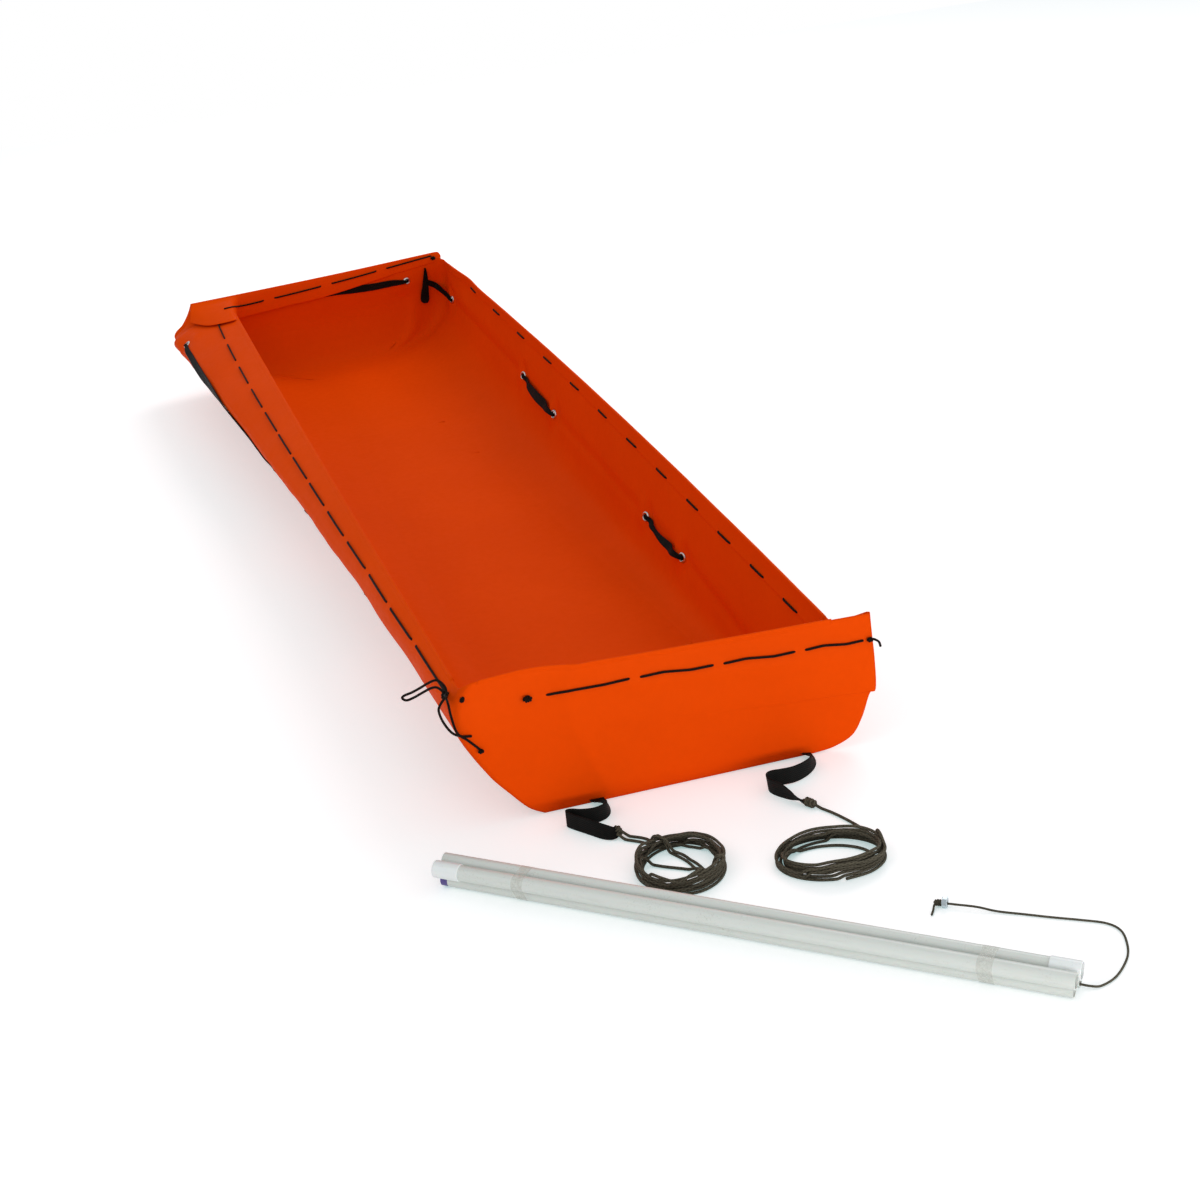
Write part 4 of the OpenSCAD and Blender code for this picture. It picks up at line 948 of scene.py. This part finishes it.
def outer_run(side, a0, v0, a1, v1, count):
    """Webbing lying flat on the outer face."""
    return [flat_row(side, mix(a0, a1, i / count), mix(v0, v1, i / count), lie_out)
            for i in range(count + 1)]

# %% Load webbing
e = [tuple(x) for x in eyelets]

def inside_pair(i, j, lift, widths, turns, first, last):
    """In through eyelet i, loosely along inside and out through eyelet j, between two necks."""
    side = e[i][0]
    return ([neck(side, *first)] + passing(e[i], 3.4, -5) + inner_bow(e[i], e[j], lift, widths, turns)
            + passing(e[j], -5, 3.4) + [neck(side, *last)])

right_rows = (outer_run(1, 0.08, 2.9, 0.235, 3.8, 8)
              + inside_pair(0, 1, 8, [7, 13, 12, 8, 9, 7], [0, 25, 40, 75, 50, 0], (0.248, 3.85),
                            (0.345, 4.0)) + outer_run(1, 0.36, 4.02, 0.57, 4.28, 10)
              + inside_pair(2, 3, 7, [7, 16, 18, 16, 12, 7], [0, 15, 20, 20, 10, 0], (0.585, 4.3),
                            (0.702, 4.72)) + outer_run(1, 0.72, 4.72, 0.962, 4.75, 12)
              + [neck(1, 0.976, 4.75)] + passing(e[4], 3.4, -5)
              + [flat_row(1, 0.992, 5.0, lie_in - 2.5, 13), flat_row(2, 0.0, 5.35, lie_in - 3.0, 13),
                 flat_row(2, 0.02, 5.6, lie_in - 1.6, 13), flat_row(2, 0.045, 5.85, lie_in - 0.2, 11)])
right_web = web_piece("load_webbing_right", right_rows)
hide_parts("load_strap_right")
head_places = [(0.145, 6.22, 11), (0.185, 6.27, 15), (0.26, 6.3, 17), (0.345, 6.44, 18),
               (0.42, 6.6, 19), (0.55, 6.66, 19), (0.68, 6.6, 19), (0.8, 6.45, 19), (0.9, 6.3, 19)]
head_run = [flat_row(2, a, v, lie_in - (0.8 if a < 0.22 else 0), w) for a, v, w in head_places]
widening = [flat_row(3, mix(0.055, 0.26, i / 9), mix(5.5, 4.85, i / 9), lie_out, 12 + 1.4 * i)
            for i in range(10)]
left_rows = (passing(e[10], 2.6, -4.4) + head_run
             + [flat_row(2, 0.93, 6.15, lie_in - 10, 14), flat_row(3, 0.01, 5.5, lie_in - 7, 12)]
             + passing(e[5], -5, 3.4) + [neck(3, 0.04, 5.6)] + widening
             + outer_run(3, 0.345, 4.72, 0.41, 4.65, 2)
             + inside_pair(6, 7, 7, [7, 15, 17, 15, 12, 7], [0, -20, -45, -60, -30, 0], (0.423, 4.6),
                           (0.537, 4.45)) + outer_run(3, 0.552, 4.43, 0.7, 4.2, 6)
             + inside_pair(8, 9, 7, [7, 14, 18, 16, 12, 7], [0, -25, -55, -50, -20, 0], (0.713, 4.2),
                           (0.817, 4.1)) + outer_run(3, 0.832, 4.05, 0.93, 3.3, 4))
left_web = web_piece("load_webbing_left", left_rows)
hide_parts("load_strap_left")
tail_n = side_normal(2, 0.045, 5.5).reshape(3)
tail_places = [(0.0424, 6.95, 0.0, 3), (0.043, 6.7, 1.2, 6), (0.0445, 6.2, 2.6, 11),
               (0.046, 5.6, 3.0, 15), (0.047, 5.1, 2.4, 19), (0.0475, 4.7, 1.8, 21),
               (0.0475, 4.5, 1.6, 20), (0.0475, 4.38, 1.5, 16), (0.0475, 4.3, 1.4, 8)]
tail_rows = [row(off_at(2, a, v, lie_in - 1.6 - lift), tail_n, w, web_t) for a, v, lift,
             w in tail_places]
tail_web = web_piece("corner_webbing_end", tail_rows)
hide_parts("corner_tail")
print("load webbing threaded")

# %% Tow webbing
left_tow = [[-100, -975, 2.6, 0, 0, 1, 1.0], [-100, -1010, 2.6, 0, 0, 1, 1.0],
            [-100, -1034, 3.2, 0, 0, 1, 0.95], [-100, -1047, 5.2, 0, 0, 1, 0.85],
            [-99, -1058, 7, 0.2, 0, 1, 0.75], [-97, -1068, 8.8, 0.6, -0.1, 0.8, 0.75],
            [-95, -1078, 10.8, 0.95, -0.1, 0.4, 0.85], [-97, -1088, 12, 0.9, -0.5, 0.1, 0.95],
            [-105, -1096, 12.6, 0.4, -0.9, 0, 1], [-119, -1099, 12.6, -0.1, -1, 0, 1],
            [-135, -1095, 12.6, -0.35, -0.93, 0, 1], [-147, -1088, 12.6, -0.5, -0.85, 0, 1],
            [-153.5, -1087.5, 12.6, 0.3, -1, 0, 1], [-155, -1092, 12.6, 1, -0.2, 0, 1],
            [-151, -1100, 12.6, 0.86, 0.5, 0, 1], [-142, -1113, 12.4, 0.85, 0.52, 0, 1],
            [-131, -1128, 12, 0.85, 0.52, -0.05, 0.98], [-120, -1141, 10.8, 0.8, 0.5, -0.2, 0.9],
            [-111, -1147, 9.4, 0.7, 0.6, -0.35, 0.75], [-104, -1146, 8.6, 0.5, 0.7, -0.4, 0.6]]
right_tow = [[196, -985, 3.1, -0.1, 0, 1, 1.0], [197, -1015, 3.0, 0, 0, 1, 0.95],
             [198, -1044, 3.4, 0, 0, 1, 0.8], [199, -1058, 4.6, 0.1, 0, 1, 0.62],
             [200, -1070, 6.2, 0.35, 0, 1, 0.55], [200, -1082, 8.4, 0.75, 0, 0.65, 0.6],
             [197, -1094, 10.6, 0.85, -0.4, 0.3, 0.75], [188, -1106, 12.2, 0.6, -0.8, 0.1, 0.92],
             [174, -1115, 12.6, 0.2, -1, 0.05, 1], [157, -1120, 12.6, 0, -1, 0.1, 1],
             [141, -1119, 12.6, -0.1, -1, 0.1, 1], [128, -1117, 12.6, 0, -1, 0.1, 1],
             [120, -1120, 12.6, 0.5, -0.85, 0.1, 1], [117, -1129, 12.6, 1, -0.1, 0.1, 1],
             [120, -1140, 12.4, 0.95, 0.3, 0.1, 1], [127, -1152, 11.8, 0.9, 0.4, 0.1, 0.96],
             [134, -1165, 10.2, 0.85, 0.4, 0.3, 0.82], [141, -1176, 8, 0.6, 0.3, 0.75, 0.58],
             [147, -1184, 6, 0.3, 0.1, 0.95, 0.36]]
for side_name, rows_of in (("left", left_tow), ("right", right_tow)):
    stations_of = [r[:6] + [web_w * r[6], web_t * (1 if r[6] > 0.5 else 1.8)] for r in rows_of]
    band = web_piece("tow_webbing_" + side_name, stations_of)
    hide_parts("tow_strap_" + side_name)
print("tow webbing laid")

# %% [markdown]
# ## The tape and the nut
# Two turns of clear tape hold the tubes. Tape is straight between two tubes, round over each one, and
# never lies perfectly flat, so a slight wrinkle is worked into its strip. The nut is a hexagon whose
# corners are turned down to a cone at both faces, which is what gives a real nut its curved edges.

# %% Tape
spacing, lean, tape_gap = 21.3, math.radians(118), 1.6
low_place = np.array([0, low_z])
cord_place = low_place + [spacing, 0]
front_place = low_place + spacing * np.array([math.cos(lean), math.sin(lean)])
back_place = front_place + [spacing, 0]

def tape_piece(name, start, width):
    """Tape round the four tubes, with an overlap, from start along the bundle."""
    outline = []
    for middle, q0, q1 in ((low_place, -104, -90), (cord_place, -90, 30), (back_place, 30, 90),
                           (front_place, 90, 208), (low_place, 208, 256), (cord_place, -90, -60)):
        count = max(3, int(abs(q1 - q0) / 8))
        for q in np.radians(np.linspace(q0, q1, count)):
            outline.append(middle + np.array([math.cos(q), math.sin(q)]) * (tube_r + 0.2))
    outline = evenly(np.array(outline), tape_gap)
    across = np.linspace(-0.5, 0.5, 9)
    points, lay = [], []
    for i, p in enumerate(outline):
        q = i / len(outline)
        out = unit(p - (low_place + back_place) / 2)
        for u in across:
            wrinkle = 0.09 + 0.07 * math.sin(i * 0.9 + u * 7) * math.sin(i * 0.23 + start)
            layer = 0.12 * q
            slip = 0.7 * math.sin(q * 6.3 + start) * u
            y, z = p + out * (wrinkle + layer)
            points.append((start + width / 2 + u * width + slip, y, z))
            lay.append((u * width, i * tape_gap, 0))
    faces = skin(len(outline), len(across), strip=True)
    return mesh_piece(name, in_bundle(points), faces, "tube_bundle", "tape", np.array(lay) * MM)

for side_name, start, width in (("left", 104, 15), ("right", 690, 18)):
    wrap = tape_piece("tape_wrap_" + side_name, start, width)
    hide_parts("tape_" + side_name)
print("tape wound")

# %% Nut
def nut_piece(name, middle, way, flats, height, bore_r, spokes=72):
    """Rows of the section are height along the nut and kind: 1 outside, 0 countersink, -1 bore."""
    way = unit(way)
    upward = unit(np.array([0, 0, 1.0]) - way * way[2])
    other = np.cross(way, upward)
    section = [(-0.5, 0), (-0.5, 1), (-0.42, 1), (-0.3, 1), (-0.1, 1), (0.1, 1), (0.3, 1), (0.42, 1),
               (0.5, 1), (0.5, 0), (0.42, -1), (0.25, -1), (0, -1), (-0.25, -1), (-0.42, -1)]
    points = []
    for k in range(spokes):
        q = 2 * math.pi * k / spokes
        corner = flats / 2 / math.cos((q + math.pi / 6) % (math.pi / 3) - math.pi / 6)
        for h, kind in section:
            cone = flats / 2 * 0.985 + (0.5 - abs(h)) * height * 1.6
            r = min(corner, cone) if kind == 1 else bore_r * (1.12 if kind == 0 else 1.0)
            points.append(middle + way * h * height + (upward * math.cos(q) + other * math.sin(q)) * r)
    return mesh_piece(name, np.array(points), skin(spokes, len(section), closed=True), "nut",
                      "nut_metal")

nut = nut_piece("threading_nut", in_bundle(nut_middle + [0, 0, nut_r])[0], across_nut, 0.013, 0.0065,
                nut_bore_r * MM)
nut.data.set_sharp_from_angle(angle=math.radians(25))
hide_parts("thread_nut")
print("nut", len(nut.data.polygons), "faces")

# %% [markdown]
# ## Finishes
# A finish is a small net of nodes. Effects that several finishes share are groups with named inputs:
# a plait for the cords, a weave for webbing and cloth, and slow patches for wear. Each group only gives
# values that change over the surface, and the shader itself stays in the material.

# %% Node helpers
def feed(tree, socket, value):
    """Gives a socket a link or a fixed value."""
    if isinstance(value, bpy.types.NodeSocket):
        tree.links.new(value, socket)
    else:
        socket.default_value = value

def node(tree, kind, inputs=None, **settings):
    made_node = tree.nodes.new("ShaderNode" + kind)
    for key, value in settings.items():
        setattr(made_node, key, value)
    for key, value in (inputs or {}).items():
        feed(tree, made_node.inputs[key], value)
    return made_node

def maths(tree, operation, first, second=0.0, third=0.0):
    return node(tree, "Math", {0: first, 1: second, 2: third}, operation=operation).outputs[0]

def noise(tree, place, scale, detail, rough=0.5):
    sockets = {"Vector": place, "Scale": scale, "Detail": detail, "Roughness": rough}
    return node(tree, "TexNoise", sockets).outputs["Fac"]

def ramp(tree, value, low, high):
    """0 up to low and 1 from high on."""
    return node(tree, "MapRange", {"Value": value, "From Min": low, "From Max": high}).outputs[0]

def blend_colour(tree, share, first, second):
    """A Mix node set to colours takes them in its sockets 6 and 7."""
    return node(tree, "Mix", {0: share, 6: first, 7: second}, data_type="RGBA").outputs[2]

def new_group(name, inputs, outputs):
    """A group, its inputs and its outputs. An input without a default number is a vector."""
    group = bpy.data.node_groups.new(name, "ShaderNodeTree")
    for label, value in inputs.items():
        kind = "NodeSocketVector" if value is None else "NodeSocketFloat"
        socket = group.interface.new_socket(name=label, in_out="INPUT", socket_type=kind)
        if value is not None:
            socket.default_value = value
    for label in outputs:
        group.interface.new_socket(name=label, in_out="OUTPUT", socket_type="NodeSocketFloat")
    return group, group.nodes.new("NodeGroupInput").outputs, group.nodes.new("NodeGroupOutput").inputs

def use_group(tree, group, **inputs):
    sockets = {key.replace("_", " "): value for key, value in inputs.items()}
    return node(tree, "Group", sockets, node_tree=group).outputs

# %% Plait of a cord
def plait_group():
    group, given, wanted = new_group("plait of a cord", {"Lay": None, "Strands": 4.0, "Pitch": 0.01},
                                     ["Height"])
    lay = node(group, "SeparateXYZ", {0: given["Lay"]}).outputs
    turned = maths(group, "MULTIPLY", maths(group, "ARCTAN2", lay[1], lay[0]), given["Strands"])
    along_cord = maths(group, "MULTIPLY", maths(group, "DIVIDE", lay[2], given["Pitch"]), 2 * math.pi)
    left_lay = maths(group, "SINE", maths(group, "ADD", turned, along_cord))
    right_lay = maths(group, "SINE", maths(group, "SUBTRACT", turned, along_cord))
    height = maths(group, "MAXIMUM", left_lay, right_lay)
    group.links.new(maths(group, "MULTIPLY_ADD", height, 0.5, 0.5), wanted["Height"])
    return group

plait = plait_group()

# %% Weave of a band or cloth
def weave_group():
    group, given, wanted = new_group("weave", {"Lay": None, "Across": 0.0012, "Along": 0.0016},
                                     ["Height", "Shade"])
    lay = node(group, "SeparateXYZ", {0: given["Lay"]}).outputs
    warp, weft = (maths(group, "SINE",
                        maths(group, "MULTIPLY", maths(group, "DIVIDE", lay[i], given[size]), math.pi))
                  for i, size in enumerate(("Across", "Along")))
    crossed = maths(group, "MULTIPLY", warp, weft)
    ribs = maths(group, "MULTIPLY", maths(group, "ABSOLUTE", warp), 0.5)
    group.links.new(maths(group, "MULTIPLY_ADD", crossed, 0.35, ribs), wanted["Height"])
    # Shade is painted shade: it is low where the threads dip, so a colour fed by it is darker in the
    # hollows of the weave
    group.links.new(maths(group, "MULTIPLY_ADD", crossed, 0.5, 0.5), wanted["Shade"])
    return group

weave = weave_group()

# %% Slow patches of wear
def patches_group():
    group, given, wanted = new_group("slow patches",
                                     {"Place": None, "Size": 0.1, "Low": 0.4, "High": 0.6},
                                     ["Mask", "Height"])
    value = noise(group, given["Place"], maths(group, "DIVIDE", 1.0, given["Size"]), 5.0, 0.55)
    group.links.new(ramp(group, value, given["Low"], given["High"]), wanted["Mask"])
    group.links.new(value, wanted["Height"])
    return group

patches = patches_group()
print("groups", [g.name for g in bpy.data.node_groups])

# %% [markdown]
# Each finish starts from one shader whose fixed numbers, such as sheen or index of refraction, are set
# on its own sockets. The colour, the roughness, the bump and the tape's alpha vary over the surface,
# so only they are wired.

# %% Finish starter
def finish(name, **fixed):
    """A material with its fixed numbers set, and its object coordinates."""
    material = bpy.data.materials.new(name)
    material.use_nodes = True
    tree = material.node_tree
    shader = tree.nodes["Principled BSDF"]
    for key, value in fixed.items():
        shader.inputs[key.replace("_", " ")].default_value = value
    place = node(tree, "TexCoord").outputs["Object"]
    return material, tree, shader, place

def surface(tree, shader, colour, rough, mask, spread):
    """Wires the colour, and a roughness that changes by spread where the mask is full."""
    tree.links.new(colour, shader.inputs["Base Color"])
    tree.links.new(maths(tree, "MULTIPLY_ADD", mask, spread, rough), shader.inputs["Roughness"])

def bumped(tree, shader, height, strength, distance, under=None):
    """Wires a bump, on top of an earlier one where there is one under it."""
    extra = {"Height": height, "Strength": strength, "Distance": distance}
    if under is not None:
        extra["Normal"] = under
    normal = node(tree, "Bump", extra).outputs[0]
    tree.links.new(normal, shader.inputs["Normal"])
    return normal

def lay_of(tree):
    return node(tree, "Attribute", attribute_name="lay").outputs["Vector"]

# %% Coated sheet
def sheet_finish():
    material, tree, shader, place = finish("coated_sheet_orange", Specular_IOR_Level=0.008, IOR=1.45)
    big = use_group(tree, patches, Place=place, Size=0.28, Low=0.35, High=0.7)
    small = use_group(tree, patches, Place=place, Size=0.012, Low=0.3, High=0.75)
    colour = blend_colour(tree, big["Mask"], (0.80, 0.066, 0.001, 1), (0.76, 0.061, 0.001, 1))
    colour = blend_colour(tree, maths(tree, "MULTIPLY", small["Mask"], 0.25), colour,
                          (0.69, 0.054, 0.001, 1))
    surface(tree, shader, colour, 0.42, small["Mask"], 0.10)
    cloth = use_group(tree, weave, Lay=lay_of(tree), Across=0.0013, Along=0.0013)
    first = bumped(tree, shader, cloth["Height"], 0.12, 0.0002)
    bumped(tree, shader, big["Height"], 0.35, 0.006, first)
    return material

# %% Cords and ropes
def cord_finish(name, light, dark, strands, pitch):
    material, tree, shader, place = finish(name, Sheen_Weight=0.02, Sheen_Roughness=0.5,
                                           Specular_IOR_Level=0.06)
    strand = use_group(tree, plait, Lay=lay_of(tree), Strands=strands, Pitch=pitch)
    dust = use_group(tree, patches, Place=place, Size=0.015, Low=0.35, High=0.75)
    worn = blend_colour(tree, dust["Mask"], light, tuple(c * 0.72 for c in light[:3]) + (1,))
    # the grooves between the strands, where the plait is low, are painted darker: painted shade
    colour = blend_colour(tree, maths(tree, "SUBTRACT", 1.0, strand["Height"]), worn, dark)
    surface(tree, shader, colour, 0.65, dust["Mask"], 0.1)
    bumped(tree, shader, strand["Height"], 0.8, 0.0005)
    return material

# %% Webbing
def webbing_finish():
    material, tree, shader, place = finish("black_webbing", Specular_IOR_Level=0.04)
    threads = use_group(tree, weave, Lay=lay_of(tree), Across=0.0016, Along=0.0022)
    dust = use_group(tree, patches, Place=place, Size=0.02, Low=0.4, High=0.8)
    # the weave's Shade paints the low crossings darker: painted shade between the threads
    colour = blend_colour(tree, threads["Shade"], (0.003, 0.003, 0.003, 1), (0.012, 0.012, 0.011, 1))
    colour = blend_colour(tree, maths(tree, "MULTIPLY", dust["Mask"], 0.3), colour,
                          (0.022, 0.021, 0.019, 1))
    surface(tree, shader, colour, 0.62, threads["Shade"], -0.12)
    bumped(tree, shader, threads["Height"], 0.7, 0.0005)
    return material

# %% Metal
def metal_finish(name, colour, rough):
    material, tree, shader, place = finish(name, Metallic=1.0)
    tarnish = use_group(tree, patches, Place=place, Size=0.006, Low=0.35, High=0.75)
    dull = tuple(c * 0.62 for c in colour[:3]) + (1,)
    surface(tree, shader, blend_colour(tree, tarnish["Mask"], colour, dull), rough, tarnish["Mask"],
            0.18)
    bumped(tree, shader, noise(tree, place, 900.0, 2.0), 0.15, 0.0001)
    return material

# %% Tube plastic, plug and tape
def tube_finish(name, light, dark, marked):
    material, tree, shader, place = finish(name, Coat_Weight=0.1, Coat_Roughness=0.2,
                                           Subsurface_Weight=0.05, Subsurface_Scale=0.004)
    turned = node(tree, "Mapping", {"Vector": place, "Rotation": (0, 0, -bundle_turn)},
                  vector_type="POINT")
    drawn_out = node(tree, "Mapping", {"Vector": turned.outputs[0], "Scale": (18.0, 260.0, 260.0)})
    streaks = noise(tree, drawn_out.outputs[0], 1.0, 4.0, 0.65)
    streak = ramp(tree, streaks, 0.55, 0.8)
    specks = ramp(tree, noise(tree, place, 420.0, 3.0, 0.7), 0.57, 0.68)
    grime = use_group(tree, patches, Place=place, Size=0.05, Low=0.45, High=0.75)
    mark = maths(tree, "MULTIPLY", maths(tree, "MULTIPLY", specks, grime["Mask"]), marked)
    colour = blend_colour(tree, maths(tree, "MULTIPLY", streak, 0.6), light, dark)
    surface(tree, shader, blend_colour(tree, mark, colour, (0.33, 0.34, 0.29, 1)), 0.32, streak, 0.15)
    bumped(tree, shader, streaks, 0.08, 0.0003)
    return material

def plug_finish():
    material, tree, shader, place = finish("violet_plug_plastic", Coat_Weight=0.1)
    grain = use_group(tree, patches, Place=place, Size=0.002, Low=0.3, High=0.7)
    colour = blend_colour(tree, grain["Mask"], (0.085, 0.055, 0.26, 1), (0.065, 0.042, 0.20, 1))
    surface(tree, shader, colour, 0.38, grain["Mask"], 0.12)
    bumped(tree, shader, grain["Height"], 0.15, 0.0002)
    return material

def tape_finish():
    material, tree, shader, place = finish("clear_tape", Coat_Weight=0.2)
    creases = use_group(tree, patches, Place=place, Size=0.004, Low=0.35, High=0.65)
    threads = use_group(tree, weave, Lay=lay_of(tree), Across=0.0011, Along=0.0011)
    colour = blend_colour(tree, creases["Mask"], (0.72, 0.71, 0.64, 1), (0.60, 0.59, 0.52, 1))
    surface(tree, shader, colour, 0.28, creases["Mask"], 0.3)
    tree.links.new(maths(tree, "MULTIPLY_ADD", creases["Mask"], 0.18, 0.16), shader.inputs["Alpha"])
    first = bumped(tree, shader, threads["Height"], 0.2, 0.0002)
    bumped(tree, shader, creases["Height"], 0.6, 0.001, first)
    return material

# %% Give every piece its finish
finishes = {
    "coated_sheet": sheet_finish(),
    "drawcord": cord_finish("dark_drawcord", (0.012, 0.006, 0.004, 1), (0.004, 0.002, 0.001, 1),
                            3.0, 0.006),
    "rope": cord_finish("olive_rope", (0.115, 0.102, 0.072, 1), (0.028, 0.024, 0.016, 1),
                        4.0, 0.009),
    "webbing": webbing_finish(),
    "eyelet_metal": metal_finish("eyelet_metal", (0.72, 0.72, 0.70, 1), 0.25),
    "nut_metal": metal_finish("zinc_nut", (0.60, 0.68, 0.72, 1), 0.28),
    "tube_plastic": tube_finish("white_tube_plastic", (0.63, 0.66, 0.62, 1),
                                (0.53, 0.56, 0.51, 1), 0.75),
    "coupler_plastic": tube_finish("white_coupler_plastic", (0.78, 0.81, 0.80, 1),
                                   (0.72, 0.75, 0.74, 1), 0.2),
    "plug_plastic": plug_finish(),
    "tape": tape_finish(),
}

def set_finish(piece, material):
    if not piece.material_slots:
        piece.data.materials.append(material)
    for place in piece.material_slots:
        place.material = material

for slot_name, pieces_of in made.items():
    for piece in pieces_of:
        set_finish(piece, finishes[slot_name])
kept = {"eyelet_metal": ["eyelets_left", "eyelets_head"], "plug_plastic": ["end_plug"],
        "tube_plastic": ["tube_low", "tube_front", "tube_back", "tube_cord"],
        "coupler_plastic": ["coupler_front", "coupler_back"]}
for slot_name, names in kept.items():
    for name in names:
        set_finish(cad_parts[name], finishes[slot_name])
print("finishes", len(finishes))

# %% [markdown]
# ## Floor, world and lamps
# The photograph has a white ground with one soft shadow. A white floor lit evenly would need so much
# light that the sheet bleaches, so the floor carries part of its white as its own glow, seen only by
# the camera and in reflections. The lamps then stay plain, and the shadow still falls on the floor.

# %% Floor
def white_floor(size=8.0, glow=(0.28, 0.43, 0.43, 1), share=(1.0, 0.8, 0.8, 1)):
    bpy.ops.mesh.primitive_plane_add(size=size, location=(0, 0.4, -0.0004))
    floor = bpy.context.object
    floor.name = "studio_floor"
    material = bpy.data.materials.new("studio_floor")
    material.use_nodes = True
    tree = material.node_tree
    tree.nodes.clear()
    rays = node(tree, "LightPath").outputs
    mirrored = maths(tree, "MAXIMUM", rays["Is Glossy Ray"], rays["Is Transmission Ray"])
    seen = maths(tree, "MAXIMUM", rays["Is Camera Ray"], mirrored)
    lit = node(tree, "BsdfDiffuse", {"Color": share}).outputs[0]
    glowing = node(tree, "Emission", {"Color": glow, "Strength": 1.0}).outputs[0]
    shown = node(tree, "AddShader", {0: lit, 1: glowing}).outputs[0]
    plain_white = node(tree, "BsdfDiffuse", {"Color": (0.9, 0.9, 0.9, 1)}).outputs[0]
    both = node(tree, "MixShader", {0: seen, 1: plain_white, 2: shown})
    node(tree, "OutputMaterial", {0: both.outputs[0]})
    floor.data.materials.append(material)

white_floor()
print("floor laid")

# %% World and lamps
def studio_world(strength=0.65):
    world = bpy.data.worlds.new("studio_world")
    bpy.context.scene.world = world
    world.use_nodes = True
    tree = world.node_tree
    tree.nodes.clear()
    seen = node(tree, "LightPath").outputs["Is Camera Ray"]
    soft = node(tree, "Background", {"Color": (0.96, 0.98, 1.0, 1), "Strength": strength}).outputs[0]
    white = node(tree, "Background", {"Color": (1, 1, 1, 1), "Strength": 1.0}).outputs[0]
    both = node(tree, "MixShader", {0: seen, 1: soft, 2: white})
    node(tree, "OutputWorld", {0: both.outputs[0]})

def lamp(name, place, aim, wide, tall, power):
    """An oval area lamp, in metres and watts, turned to its aim."""
    data = bpy.data.lights.new(name, "AREA")
    data.shape = "ELLIPSE"
    data.size = wide
    data.size_y = tall
    data.energy = power
    light = bpy.data.objects.new(name, data)
    bpy.context.scene.collection.objects.link(light)
    light.location = place
    light.rotation_euler = (Vector(aim) - Vector(place)).to_track_quat("-Z", "Y").to_euler()

studio_world()
lamp("key_lamp", (2.4, 2.1, 3.2), (0.0, -0.2, 0.0), 2.6, 2.6, 52)
lamp("front_lamp", (0.6, -3.4, 0.30), (0.0, -1.0, 0.10), 3.4, 0.5, 30)
lamp("fill_lamp", (-2.8, -1.6, 2.6), (0.0, -0.2, 0.1), 2.6, 2.6, 13)
scene = bpy.context.scene
scene.view_settings.view_transform = "Standard"

# %% [markdown]
# ## Box corners
# A box is turned into plain lists of numbers. The dressed model must not outgrow the
# solid.

# %% Box corners as plain numbers
def plain(box):
    return [[float(c) for c in corner] for corner in box]
